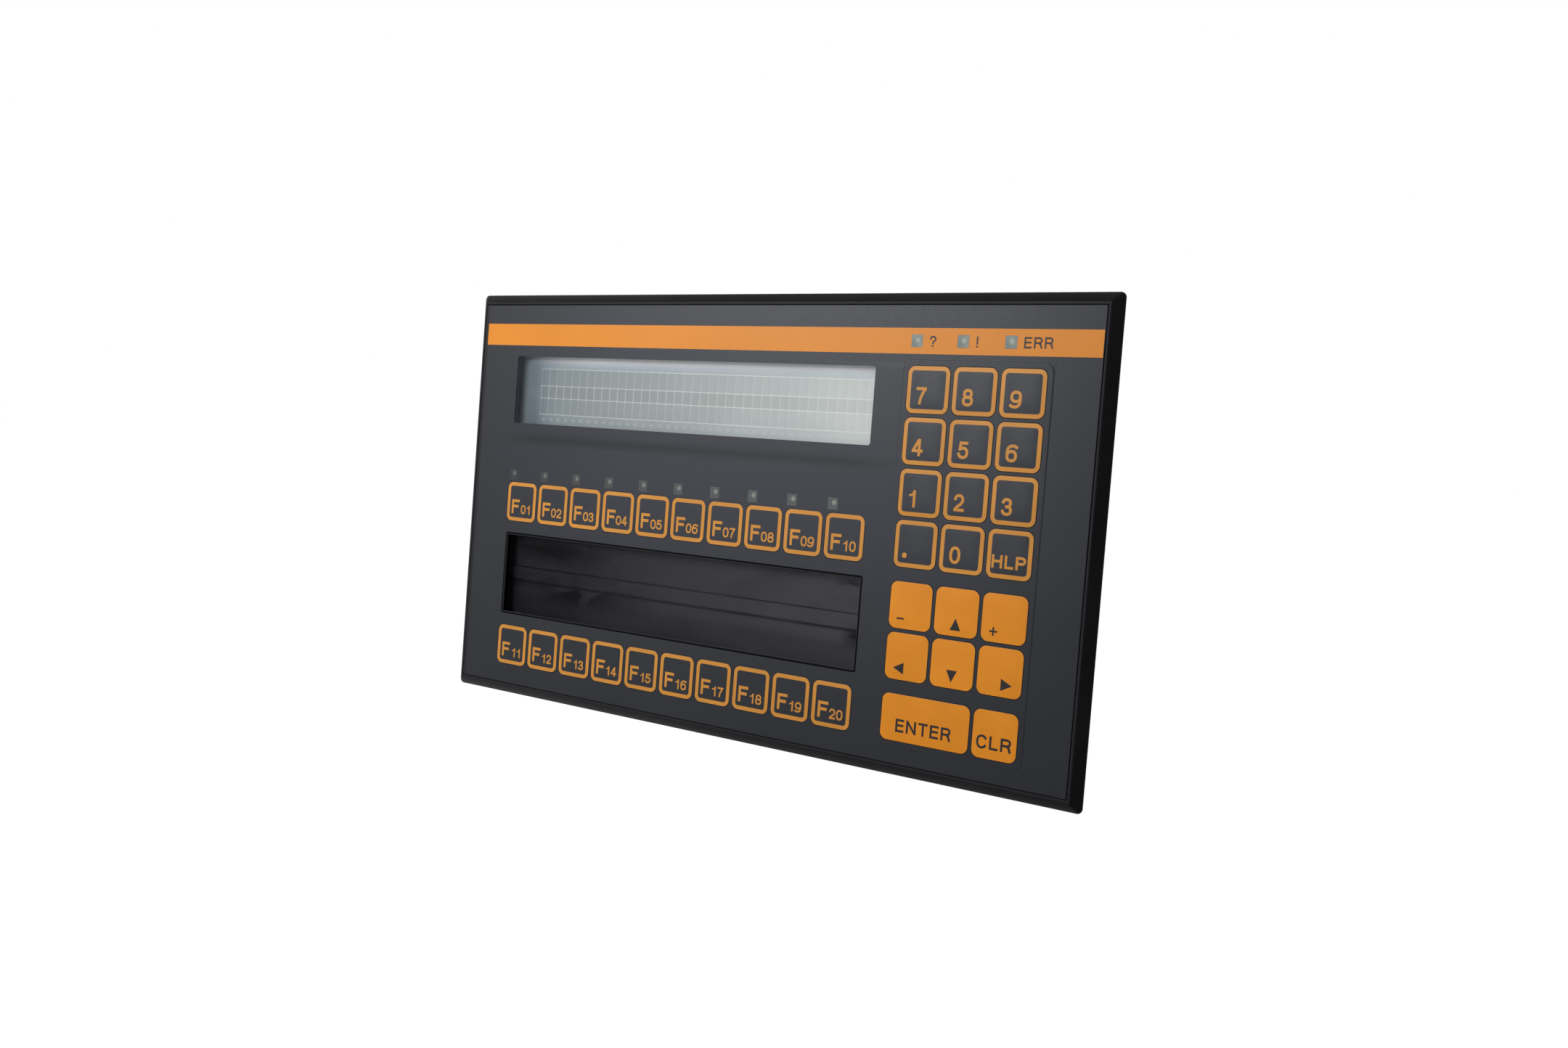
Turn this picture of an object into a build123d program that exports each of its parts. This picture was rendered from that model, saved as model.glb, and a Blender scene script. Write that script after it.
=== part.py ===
from build123d import *
from math import cos, pi, sin
import os

# Operator panel for a machine: forty membrane keys, a text display and a pocket for label strips,
# in a bevelled front plate with an electronics housing behind it.
#
# Frame: X to the operator's right, Z up, +Y into the cabinet. The origin is the middle of the front
# plate's rear face, which lies against the cabinet sheet. All sizes are in millimetres.

# ---------------------------------------------------------------- keys
key_pitch = 15.0  # centre to centre within a block of keys
key_size = 14.0  # side of a square cap
key_corner = 2.3  # corner radius of a cap
corner_chords = 3  # chords in each round corner of the caps and of their cut-outs
key_gap = 0.1  # play between a cap and the sheets round it
key_travel = 0.5  # how far a cap sinks when it is pressed
key_draft = 20.0  # slope of a cap's flanks in degrees
flat_key_rise = 0.05  # function keys stand almost flush
raised_key_rise = 0.4  # number, arrow and entry keys are embossed
function_columns = 10
number_rows = 4
block_step = 18.0  # row step from one block of keys to the next
block_gap = 24.7  # last function column to first number column, centre to centre
left_margin = 16.6  # foil edge to the nearest caps
right_margin = 15.5
top_margin = 17.6
bottom_margin = 6.7
plateau_margin = 1.75  # embossed field round the right-hand keys, beyond the caps
plateau_rise = 0.15
plateau_corner = 3.0
plateau_draft = 45.0

# ---------------------------------------------------------------- windows in the foil
display_inset = 0.55  # display window's ends in from the ends of the function key rows
display_height = 23.6
display_drop = 18.05  # foil's top edge to the top of the display window
label_overhang = 0.1  # label window's ends beyond those of the function key rows
label_margin = 3.95  # label window to the function keys above and below it
label_shift = 0.5  # the label window sits this far right of the function keys' middle
window_corner = 0.8
window_relief = 0.3  # openings under the foil are wider by this on each side
indicator_size = 3.7  # square light windows
indicator_shift = 4.95  # window centre to the left of its key's centre
indicator_rise = 9.95  # window centre above its function key's centre
status_drop = 10.4  # foil's top edge to the centres of the three status windows

# ---------------------------------------------------------------- sheets under the foil
foil_thickness = 0.3
spacer_thickness = 0.9
circuit_thickness = 0.3
dome_size = 9.0
dome_crown = 5.0
dome_clearance = 0.05  # left over a dome when its key is down
led_width, led_depth, led_height = 2.0, 1.25, 0.5
tail_width = 20.0
tail_clearance = 1.0
tail_x, tail_z = 75.0, 10.0

# ---------------------------------------------------------------- front plate
foil_gap = 0.2  # groove round the foil
rim_width = 0.8
bevel_width = 2.9
bevel_depth = 2.6
plate_corner = 1.6
rim_corner = 0.4
plate_thickness = 3.0
collar_wall = 1.5
collar_height = 6.0
collar_gap = 0.15  # between the collar and the housing
rib_wall = 1.5
rib_height = 4.0
rib_gap = 1.5  # from the tray's flange to the lengthwise rib, and to the rib beside it
hook_wall = 1.2
hook_width = 8.0
hook_gap = 0.2  # between a hook's arm and the piece it holds
hook_barb = 0.8
hook_rise = 1.4
hook_play = 0.05
stud_radius = 1.5
stud_length = 8.0  # through a 3 mm sheet, a washer and a nut
stud_base_flats = 5.0
stud_base_depth = 1.0
stud_inset_x = 4.8  # stud centres in from the plate's edges
stud_inset_z = 4.05
gasket_width = 2.6
gasket_thickness = 2.0
gasket_gap = 1.9  # between the gasket and the studs
gasket_corner = 4.0

# ---------------------------------------------------------------- display module and label tray
bezel_sheet = 0.4
bezel_relief = 0.5  # bezel's opening beyond the window on each side
bezel_land = 2.0  # width of glass that the bezel covers
bezel_wall = 0.6
bezel_depth = 6.0
glass_gap = 0.1
glass_thickness = 2.2
board_thickness = 1.6
display_board_height = 36.0
driver_chips = 5
driver_pitch = 26.0
driver_size = (14.0, 20.0, 2.4)  # X, Z and height
driver_rise = 5.0  # chips' centres above the display's middle
header_size = (46.0, 5.0)
header_drop = 12.5
tray_depth = 1.0  # recess below the plate's rear face
tray_floor = 1.5
tray_flange = 2.5
tray_land_width = 4.7
tray_land_rise = 0.4

# ---------------------------------------------------------------- housing and main board
housing_gap = 2.4  # between the housing and the gasket
housing_depth = 33.0
housing_sheet = 1.2
housing_bend = 2.5
vent_length = 14.0
vent_width = 2.5
vent_pitch = 8.0
vents_per_side = 13
vent_y = 17.0
main_board_y = 18.0
main_board_gap = 3.4  # between the board's edges and the housing
board_chips = [(-8, 26, 28, 28, 3.6), (34, 28, 38, 15, 5.0), (34, 8, 38, 15, 5.0)]  # X, Z, sizes, rise
capacitor_places = [(-72, 12), (-59, 12)]
capacitor_radius = 4.0
capacitor_height = 10.5
pillar_flats = 5.5
pillar_inset = 10.6  # outer pillars in from the collar
cover_step = 9.0  # cover pillars nearer to the middle than the board pillars by this
screw_sides = 12  # flats that stand for the round of a screw's shank and of its holes
screw_radius = 1.5
screw_play = 0.1
screw_reach = 8.0
screw_head_flats = 5.5
screw_head_height = 2.0

# ---------------------------------------------------------------- connectors
socket_x, socket_z = 30.0, -18.0  # 25-way data socket
socket_shell_width = 38.9
socket_shell_height = 8.3
socket_shell_corner = 2.4
socket_shell_proud = 4.7
socket_slant = 1.45  # the D outline narrows by this on each side
socket_flange_width = 53.0
socket_flange_height = 12.5
socket_flange_sheet = 0.8
socket_body_width = 41.0
socket_body_height = 10.6
socket_clearance = 0.4
jack_spacing = 47.04
jack_flats = 4.8
jack_length = 5.0
jack_bore = 1.25
jack_bore_depth = 4.5
terminal_x, terminal_z = -50.0, -18.0  # supply terminal
terminal_pitch = 5.08
terminal_ways = 3
terminal_height = 11.0
terminal_proud = 11.0
terminal_end = 0.6
terminal_chamfer = 1.0
terminal_clearance = 0.4
wire_entry = 3.4
wire_entry_depth = 7.0
wire_entry_drop = 1.5
clamp_screw_radius = 1.7
clamp_screw_depth = 1.2

# ---------------------------------------------------------------- worked out from the sizes above
number_columns = 3
arrow_rows = 2
field_columns = (function_columns - 1) * key_pitch + block_gap + (number_columns - 1) * key_pitch
field_rows = (number_rows - 1) * key_pitch + (arrow_rows - 1) * key_pitch + 2 * block_step
foil_width = left_margin + key_size + field_columns + right_margin
foil_height = top_margin + key_size + field_rows + bottom_margin
recess_width = foil_width + 2 * foil_gap
recess_height = foil_height + 2 * foil_gap
plate_width = recess_width + 2 * (rim_width + bevel_width)
plate_height = recess_height + 2 * (rim_width + bevel_width)

plate_front = -plate_thickness
foil_back = plate_front + foil_thickness
spacer_back = foil_back + spacer_thickness
recess_floor = spacer_back + circuit_thickness
dome_height = spacer_thickness - key_travel - dome_clearance

function_x = [left_margin + key_size / 2 - foil_width / 2 + i * key_pitch for i in range(function_columns)]
number_x = [function_x[-1] + block_gap + i * key_pitch for i in range(number_columns)]
number_z = [foil_height / 2 - top_margin - key_size / 2 - i * key_pitch for i in range(number_rows)]
arrow_z = [number_z[-1] - block_step - i * key_pitch for i in range(arrow_rows)]
entry_z = arrow_z[-1] - block_step
function_z = [number_z[-1], entry_z]

row_width = function_x[-1] - function_x[0] + key_size
row_space = function_z[0] - function_z[1] - key_size
display_width = row_width - 2 * display_inset
label_width = row_width + 2 * label_overhang
label_height = row_space - 2 * label_margin
display_x = (function_x[0] + function_x[-1]) / 2
display_z = foil_height / 2 - display_drop - display_height / 2
label_x = display_x + label_shift
label_z = (function_z[0] + function_z[1]) / 2
indicator_places = [(x - indicator_shift, function_z[0] + indicator_rise) for x in function_x]
indicator_places += [(x - indicator_shift, foil_height / 2 - status_drop) for x in number_x]

bezel_width = display_width + 2 * (bezel_relief + bezel_land + bezel_wall)
bezel_height = display_height + 2 * (bezel_relief + bezel_land + bezel_wall)
tray_width = label_width + 2 * tray_flange
tray_height = label_height + 2 * tray_flange
rib_z = label_z + tray_height / 2 + rib_gap + rib_wall / 2

stud_x = plate_width / 2 - stud_inset_x
stud_z = plate_height / 2 - stud_inset_z
stud_places = [(x, z) for x in (-stud_x, 0, stud_x) for z in (-stud_z, stud_z)]
gasket_x = stud_x - stud_radius - gasket_gap  # outer edges of the gasket
gasket_z = stud_z - stud_radius - gasket_gap
housing_width = 2 * (gasket_x - gasket_width - housing_gap)
housing_height = 2 * (gasket_z - gasket_width - housing_gap)
housing_inside = housing_depth - housing_sheet
collar_width = housing_width - 2 * (housing_sheet + collar_gap)
collar_span = housing_height - 2 * (housing_sheet + collar_gap)
collar_room_x = collar_width / 2 - collar_wall  # inside faces of the collar
collar_room_z = collar_span / 2 - collar_wall

main_board_width = housing_width - 2 * (housing_sheet + main_board_gap)
main_board_height = housing_height - 2 * (housing_sheet + main_board_gap)
main_board_back = main_board_y + board_thickness
pillar_x = collar_room_x - pillar_inset
low_pillar_z = (label_z - tray_height / 2 - collar_room_z) / 2
middle_pillar_z = (display_z - display_board_height / 2 + rib_z) / 2
pillar_places = [(x, low_pillar_z) for x in (-pillar_x, 0, pillar_x)]
pillar_places += [(-pillar_x, middle_pillar_z), (pillar_x, middle_pillar_z), (pillar_x, -low_pillar_z)]
cover_x = pillar_x - cover_step
cover_places = [(x, z) for x in (-cover_x, cover_x) for z in (low_pillar_z, -low_pillar_z)]


def facing(y):
    """A drawing plane at depth y that faces the operator, with its own axes along X and Z."""
    return Plane(origin=(0, y, 0), x_dir=(1, 0, 0), z_dir=(0, -1, 0))


def slab(outline, front, back, draft=0):
    """The outline as a plate from Y = back forward to Y = front."""
    return extrude(facing(back) * outline, amount=back - front, taper=draft)


def at(x, z, outline):
    return Pos(x, z) * outline


def box(width, height, x, z, front, back):
    return slab(at(x, z, Rectangle(width, height)), front, back)


def rod(radius, x, z, front, back):
    return slab(at(x, z, Circle(radius)), front, back)


def hexagon(flats, x, z, front, back):
    return slab(at(x, z, RegularPolygon(flats / 2, 6, major_radius=False)), front, back)


def shank(radius, x, z, front, back):
    return slab(at(x, z, RegularPolygon(radius, screw_sides)), front, back)


def key_outline(width, height, corner):
    """A rounded rectangle whose corners are chords on a circle, so that eighty of them stay light."""
    points = []
    for quarter, (side_x, side_z) in enumerate([(1, 1), (-1, 1), (-1, -1), (1, -1)]):
        centre_x = side_x * (width / 2 - corner)
        centre_z = side_z * (height / 2 - corner)
        for chord in range(corner_chords + 1):
            angle = (quarter + chord / corner_chords) * pi / 2
            points.append((centre_x + corner * cos(angle), centre_z + corner * sin(angle)))
    return make_face(Polyline(*points, close=True))


def window_panes(front, back):
    """The display window and the label window at their own size."""
    display = at(display_x, display_z, RectangleRounded(display_width, display_height, window_corner))
    label = at(label_x, label_z, RectangleRounded(label_width, label_height, window_corner))
    return [slab(display, front, back), slab(label, front, back)]


def window_openings(front, back):
    """Openings behind the two windows, wider than they are."""
    spare = 2 * window_relief
    display = box(display_width + spare, display_height + spare, display_x, display_z, front, back)
    return [display, box(label_width + spare, label_height + spare, label_x, label_z, front, back)]


def light_windows(spare, front, back):
    side = indicator_size + 2 * spare
    return [box(side, side, x, z, front, back) for x, z in indicator_places]


def key_places():
    """Name, X, Z, width and rise above the foil of every key."""
    places = []
    for row, z in enumerate(function_z):
        for column, x in enumerate(function_x):
            number = row * function_columns + column + 1
            places.append((f"key_f{number:02d}", x, z, key_size, flat_key_rise))
    number_names = [["7", "8", "9"], ["4", "5", "6"], ["1", "2", "3"], ["point", "0", "help"]]
    arrow_names = [["minus", "up", "plus"], ["left", "down", "right"]]
    for names, z in zip(number_names + arrow_names, number_z + arrow_z):
        for name, x in zip(names, number_x):
            places.append((f"key_{name}", x, z, key_size, raised_key_rise))
    enter_x = (number_x[0] + number_x[1]) / 2
    places.append(("key_enter", enter_x, entry_z, key_size + key_pitch, raised_key_rise))
    places.append(("key_clear", number_x[2], entry_z, key_size, raised_key_rise))
    return places


def key_cap(x, z, width, rise):
    """One cap: it fills its cut-out in the foil and narrows towards the finger."""
    outline = key_outline(width, key_size, key_corner)
    return slab(at(x, z, outline), plate_front - rise, foil_back, key_draft)


def keypad_foil():
    """The printed front foil, with an embossed field round the number, arrow and entry keys."""
    foil = box(foil_width, foil_height, 0, 0, plate_front, foil_back)
    spread = 2 * plateau_margin + key_size
    width = number_x[-1] - number_x[0] + spread
    height = number_z[0] - entry_z + spread
    middle_z = (number_z[0] + entry_z) / 2
    field = at(number_x[1], middle_z, RectangleRounded(width, height, plateau_corner))
    foil += slab(field, plate_front - plateau_rise, foil_back, plateau_draft)
    front = plate_front - 2 * plateau_rise
    cuts = window_panes(front, foil_back) + light_windows(0, front, foil_back)
    for _, x, z, key_width, _ in key_places():
        outline = key_outline(key_width + 2 * key_gap, key_size + 2 * key_gap, key_corner + key_gap)
        cuts.append(slab(at(x, z, outline), front, foil_back))
    return foil - cuts


def foil_windows():
    """The unprinted parts of the foil: display, label pocket and thirteen small smoked lights."""
    return Compound(window_panes(plate_front, foil_back) + light_windows(0, plate_front, foil_back))


def spacer_sheet():
    """Holds the foil off the circuit and leaves room for the caps to sink."""
    cuts = window_openings(foil_back, spacer_back) + light_windows(window_relief, foil_back, spacer_back)
    for _, x, z, width, _ in key_places():
        cuts.append(box(width + 2 * key_gap, key_size + 2 * key_gap, x, z, foil_back, spacer_back))
    return box(foil_width, foil_height, 0, 0, foil_back, spacer_back) - cuts


def circuit_sheet():
    """The printed circuit foil with its tail, which runs back to the main board."""
    sheet = box(foil_width, foil_height, 0, 0, spacer_back, recess_floor)
    sheet -= window_openings(spacer_back, recess_floor)
    return sheet + box(tail_width, circuit_thickness, tail_x, tail_z, recess_floor, main_board_y)


def snap_domes():
    """A four-sided metal dome under the middle of every key."""
    crown_y = spacer_back - dome_height
    foot, crown = dome_size / 2, dome_crown / 2
    profile = [(-foot, spacer_back), (foot, spacer_back), (crown, crown_y), (-crown, crown_y)]
    above = extrude(make_face(Polyline(*profile, close=True)), amount=foot, both=True)
    dome = above & Rot(0, 90, 0) * above
    return Compound([Pos(x, 0, z) * dome for _, x, z, _, _ in key_places()])


def indicator_leds():
    front = spacer_back - led_height
    return Compound([box(led_width, led_depth, x, z, front, spacer_back) for x, z in indicator_places])


def hook(end_x, z, side, seat):
    """A moulded snap hook whose barb closes over a piece that ends at end_x and reaches back to seat."""
    profile = [
        (hook_gap, 0),
        (hook_gap + hook_wall, 0),
        (hook_gap + hook_wall, seat + hook_rise),
        (hook_gap, seat + hook_rise),
        (-hook_barb, seat + hook_play),
        (hook_gap, seat + hook_play),
    ]
    points = [(end_x + side * x, y) for x, y in profile]
    return Pos(0, 0, z) * extrude(make_face(Polyline(*points, close=True)), amount=hook_width / 2, both=True)


def hooks(middle_x, middle_z, width, height, seat):
    """Two hooks at each end of a piece."""
    ends = [(side, middle_z + k * height / 4) for side in (-1, 1) for k in (-1, 1)]
    return [hook(middle_x + side * width / 2, z, side, seat) for side, z in ends]


def stiffening_ribs():
    """Ribs on the plate's rear: one lengthwise between display and tray, two across beside them."""
    beside_x = label_x + tray_width / 2 + hook_gap + hook_wall + rib_gap + rib_wall / 2
    ribs = [box(2 * collar_room_x, rib_wall, 0, rib_z, 0, rib_height)]
    for x in (beside_x, pillar_x - pillar_flats):
        ribs.append(box(rib_wall, 2 * collar_room_z, x, 0, 0, rib_height))
    return ribs


def front_frame():
    """The bevelled plate that everything hangs on."""
    side_front = bevel_depth - plate_thickness
    foot = facing(side_front) * RectangleRounded(plate_width, plate_height, plate_corner)
    rim_outline = RectangleRounded(plate_width - 2 * bevel_width, plate_height - 2 * bevel_width, rim_corner)
    frame = loft([foot, facing(plate_front) * rim_outline], ruled=True)
    frame += slab(RectangleRounded(plate_width, plate_height, plate_corner), side_front, 0)
    collar = Rectangle(collar_width, collar_span)
    bore = Rectangle(2 * collar_room_x, 2 * collar_room_z)
    frame += slab(collar - bore, 0, collar_height)
    frame += stiffening_ribs()
    frame += hooks(display_x, display_z, bezel_width, display_board_height, bezel_depth + board_thickness)
    frame += hooks(label_x, label_z, tray_width, tray_height, tray_depth + tray_floor)
    cuts = [box(recess_width, recess_height, 0, 0, plate_front, recess_floor)]
    cuts += window_openings(recess_floor, 0)
    slot_width = tail_width + 2 * tail_clearance
    slot_height = circuit_thickness + 2 * tail_clearance
    cuts.append(box(slot_width, slot_height, tail_x, tail_z, recess_floor, 0))
    cuts += [hexagon(stud_base_flats, x, z, -stud_base_depth, 0) for x, z in stud_places]
    return frame - cuts


def mounting_studs():
    """Six threaded studs, each with a hexagonal foot moulded into the plate's rear."""
    studs = []
    for x, z in stud_places:
        foot = hexagon(stud_base_flats, x, z, -stud_base_depth, 0)
        studs.append(foot + rod(stud_radius, x, z, 0, stud_length))
    return Compound(studs)


def panel_gasket():
    outer = RectangleRounded(2 * gasket_x, 2 * gasket_z, gasket_corner)
    hole_corner = gasket_corner - gasket_width
    hole = RectangleRounded(2 * (gasket_x - gasket_width), 2 * (gasket_z - gasket_width), hole_corner)
    return slab(outer - hole, 0, gasket_thickness)


def label_tray():
    """Floor of the label pocket: two strip channels with a land between them, open at one end."""
    tray = box(tray_width, tray_height, label_x, label_z, 0, tray_depth + tray_floor)
    tray -= window_openings(0, tray_depth)[1]
    tray += box(label_width, tray_land_width, label_x, label_z, tray_depth - tray_land_rise, tray_depth)
    exit_x = label_x + (label_width + tray_flange) / 2
    channel_height = (label_height - tray_land_width) / 2
    for side in (-1, 1):
        z = label_z + side * (tray_land_width + channel_height) / 2
        tray -= box(tray_flange, channel_height, exit_x, z, 0, tray_depth)
    return tray


def lcd_bezel():
    """Folded sheet frame that clamps the display glass."""
    shell = box(bezel_width, bezel_height, display_x, display_z, 0, bezel_depth)
    inside_width = bezel_width - 2 * bezel_wall
    inside_height = bezel_height - 2 * bezel_wall
    shell -= box(inside_width, inside_height, display_x, display_z, bezel_sheet, bezel_depth)
    opening_width = display_width + 2 * bezel_relief
    opening_height = display_height + 2 * bezel_relief
    return shell - box(opening_width, opening_height, display_x, display_z, 0, bezel_sheet)


def lcd_glass():
    width = bezel_width - 2 * (bezel_wall + glass_gap)
    height = bezel_height - 2 * (bezel_wall + glass_gap)
    return box(width, height, display_x, display_z, bezel_sheet, bezel_sheet + glass_thickness)


def lcd_board():
    """Driver board behind the glass, with driver chips and the header that meets the main board."""
    back = bezel_depth + board_thickness
    board = box(bezel_width, display_board_height, display_x, display_z, bezel_depth, back)
    chip_width, chip_height, chip_rise = driver_size
    for i in range(driver_chips):
        x = display_x + (i - (driver_chips - 1) / 2) * driver_pitch
        board += box(chip_width, chip_height, x, display_z + driver_rise, back, back + chip_rise)
    return board + box(*header_size, display_x, display_z - header_drop, back, main_board_y)


def main_board():
    """Processor board with its larger parts."""
    board = box(main_board_width, main_board_height, 0, 0, main_board_y, main_board_back)
    for x, z, width, height, rise in board_chips:
        board += box(width, height, x, z, main_board_back, main_board_back + rise)
    for x, z in capacitor_places:
        board += rod(capacitor_radius, x, z, main_board_back, main_board_back + capacitor_height)
    return board


def board_pillars():
    """Hexagonal pillars from the plate to the main board."""
    return Compound([hexagon(pillar_flats, x, z, 0, main_board_y) for x, z in pillar_places])


def cover_pillars():
    """Hexagonal pillars from the main board to the housing's rear wall, bored for the cover screws."""
    bore_floor = housing_depth - screw_reach - screw_play
    pillars = []
    for x, z in cover_places:
        pillar = hexagon(pillar_flats, x, z, main_board_back, housing_inside)
        pillars.append(pillar - shank(screw_radius + screw_play, x, z, bore_floor, housing_inside))
    return Compound(pillars)


def cover_screws():
    """Hexagon-headed screws through the housing's rear wall into the cover pillars."""
    screws = []
    for x, z in cover_places:
        head = hexagon(screw_head_flats, x, z, housing_depth, housing_depth + screw_head_height)
        screws.append(head + shank(screw_radius, x, z, housing_depth - screw_reach, housing_depth))
    return Compound(screws)


def d_outline(spare):
    """The D-shaped outline of the data socket's shell, wider by spare all round."""
    half_width = socket_shell_width / 2 + spare
    half_height = socket_shell_height / 2 + spare
    corners = [
        (-half_width, half_height),
        (half_width, half_height),
        (half_width - socket_slant, -half_height),
        (-half_width + socket_slant, -half_height),
    ]
    outline = make_face(Polyline(*corners, close=True))
    return at(socket_x, socket_z, fillet(outline.vertices(), socket_shell_corner + spare))


def jack_places():
    return [(socket_x + side * jack_spacing / 2, socket_z) for side in (-1, 1)]


def data_connector():
    """25-way socket: moulded body, steel flange and shell, and two threaded jack posts."""
    flange_front = housing_inside - socket_flange_sheet
    socket = box(socket_body_width, socket_body_height, socket_x, socket_z, main_board_back, flange_front)
    socket += box(socket_flange_width, socket_flange_height, socket_x, socket_z, flange_front, housing_inside)
    socket += slab(d_outline(0), housing_inside, housing_depth + socket_shell_proud)
    end = housing_depth + jack_length
    for x, z in jack_places():
        socket += hexagon(jack_flats, x, z, housing_inside, end)
        socket -= rod(jack_bore, x, z, end - jack_bore_depth, end)
    return socket


def terminal_width():
    return terminal_ways * terminal_pitch + 2 * terminal_end


def power_terminal():
    """Supply terminal: wires enter from the rear, clamp screws are reached from above."""
    back = housing_depth + terminal_proud
    block = box(terminal_width(), terminal_height, terminal_x, terminal_z, main_board_back, back)
    block = chamfer(block.edges().filter_by(Axis.X).sort_by(Axis.Y)[-2:], terminal_chamfer)
    top = terminal_z + terminal_height / 2
    for way in range(terminal_ways):
        x = terminal_x + (way - (terminal_ways - 1) / 2) * terminal_pitch
        block -= box(wire_entry, wire_entry, x, terminal_z - wire_entry_drop, back - wire_entry_depth, back)
        well = Pos(x, housing_depth + terminal_proud / 2, top - clamp_screw_depth / 2)
        block -= well * Cylinder(clamp_screw_radius, clamp_screw_depth)
    return block


def vent_slots():
    """A row of slots through the top wall and one through the bottom wall."""
    reach = housing_height + housing_bend
    first_x = -(vents_per_side - 1) / 2 * vent_pitch
    slot = Box(vent_width, vent_length, reach)
    return [Pos(first_x + i * vent_pitch, vent_y) * slot for i in range(vents_per_side)]


def housing_profile(inset):
    """The side view of the housing, drawn in Y and Z, with its two rear bends."""
    half_height = housing_height / 2 - inset
    back = housing_depth - inset
    corners = [(0, -half_height), (back, -half_height), (back, half_height), (0, half_height)]
    outline = Plane.YZ * make_face(Polyline(*corners, close=True))
    return fillet(outline.vertices().sort_by(Axis.Y)[-2:], housing_bend - inset)


def rear_housing():
    """Folded sheet box with cooling slots and cut-outs for the two connectors."""
    shell = extrude(housing_profile(0), amount=housing_width / 2, both=True)
    shell -= extrude(housing_profile(housing_sheet), amount=housing_width / 2 - housing_sheet, both=True)
    cuts = vent_slots()
    cuts.append(slab(d_outline(socket_clearance), housing_inside, housing_depth))
    jack_hole = jack_flats + 2 * socket_clearance
    cuts += [hexagon(jack_hole, x, z, housing_inside, housing_depth) for x, z in jack_places()]
    width = terminal_width() + 2 * terminal_clearance
    height = terminal_height + 2 * terminal_clearance
    cuts.append(box(width, height, terminal_x, terminal_z, housing_inside, housing_depth))
    hole = screw_radius + screw_play
    cuts += [shank(hole, x, z, housing_inside, housing_depth) for x, z in cover_places]
    return shell - cuts


def main():
    pieces = {
        "front_frame": front_frame(),
        "keypad_foil": keypad_foil(),
        "foil_windows": foil_windows(),
        "spacer_sheet": spacer_sheet(),
        "circuit_sheet": circuit_sheet(),
        "snap_domes": snap_domes(),
        "indicator_leds": indicator_leds(),
        "label_tray": label_tray(),
        "lcd_glass": lcd_glass(),
        "lcd_bezel": lcd_bezel(),
        "lcd_board": lcd_board(),
        "main_board": main_board(),
        "board_pillars": board_pillars(),
        "cover_pillars": cover_pillars(),
        "cover_screws": cover_screws(),
        "rear_housing": rear_housing(),
        "panel_gasket": panel_gasket(),
        "mounting_studs": mounting_studs(),
        "data_connector": data_connector(),
        "power_terminal": power_terminal(),
    }
    for name, x, z, width, rise in key_places():
        pieces[name] = key_cap(x, z, width, rise)
    os.makedirs("parts", exist_ok=True)
    for name, piece in pieces.items():
        export_step(piece, f"parts/{name}.step")
        print(name, round(piece.volume, 2))


main()
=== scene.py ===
# %% [markdown]
# # An operator terminal with membrane keys, dressed in Blender
# The solids of this terminal come ready made, each on the body that it moves with. They have the right sizes
# and places but no colour and no fine detail. This lesson keeps what is right, models the visible skin anew on
# top of it, and gives every part the finish of its real material.

# %% Load the fixed frame
from math import cos, pi, radians, sin

import bmesh
import bpy
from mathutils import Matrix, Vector


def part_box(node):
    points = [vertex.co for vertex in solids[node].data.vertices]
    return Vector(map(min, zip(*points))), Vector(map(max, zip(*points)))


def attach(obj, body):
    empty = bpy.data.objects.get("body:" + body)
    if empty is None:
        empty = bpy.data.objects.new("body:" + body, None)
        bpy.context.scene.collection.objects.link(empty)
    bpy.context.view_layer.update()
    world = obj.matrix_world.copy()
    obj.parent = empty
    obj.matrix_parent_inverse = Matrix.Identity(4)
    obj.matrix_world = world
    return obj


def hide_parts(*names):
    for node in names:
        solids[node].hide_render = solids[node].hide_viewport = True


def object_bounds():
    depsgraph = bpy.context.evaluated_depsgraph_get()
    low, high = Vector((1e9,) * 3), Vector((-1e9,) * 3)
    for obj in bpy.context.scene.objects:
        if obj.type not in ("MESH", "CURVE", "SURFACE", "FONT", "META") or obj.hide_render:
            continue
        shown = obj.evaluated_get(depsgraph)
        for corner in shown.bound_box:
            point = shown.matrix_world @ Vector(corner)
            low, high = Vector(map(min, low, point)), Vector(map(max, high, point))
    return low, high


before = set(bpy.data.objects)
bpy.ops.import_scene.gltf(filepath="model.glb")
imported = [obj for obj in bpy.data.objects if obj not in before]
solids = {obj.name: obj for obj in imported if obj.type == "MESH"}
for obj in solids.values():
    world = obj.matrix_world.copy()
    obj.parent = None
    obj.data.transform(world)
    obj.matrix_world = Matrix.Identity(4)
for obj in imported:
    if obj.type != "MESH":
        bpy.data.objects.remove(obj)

cad_box = [list(corner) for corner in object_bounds()]
mm = 0.001
print("solids", len(solids), "box", cad_box)

# %% [markdown]
# ## Sizes that the new pieces share
# X runs to the right, Z upwards and Y into the cabinet, so the operator sees faces that look along -Y. The
# places repeat those of the solids, in millimetres, and most of them are read from the solids' own boxes. That
# keeps one truth: if a solid moves, its dressing follows.

# %% Read the places of the keys and windows from the solids
def middle(node):
    """Centre of a solid in the front view, in millimetres."""
    low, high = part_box(node)
    return (low.x + high.x) / 2 / mm, (low.z + high.z) / 2 / mm


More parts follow.
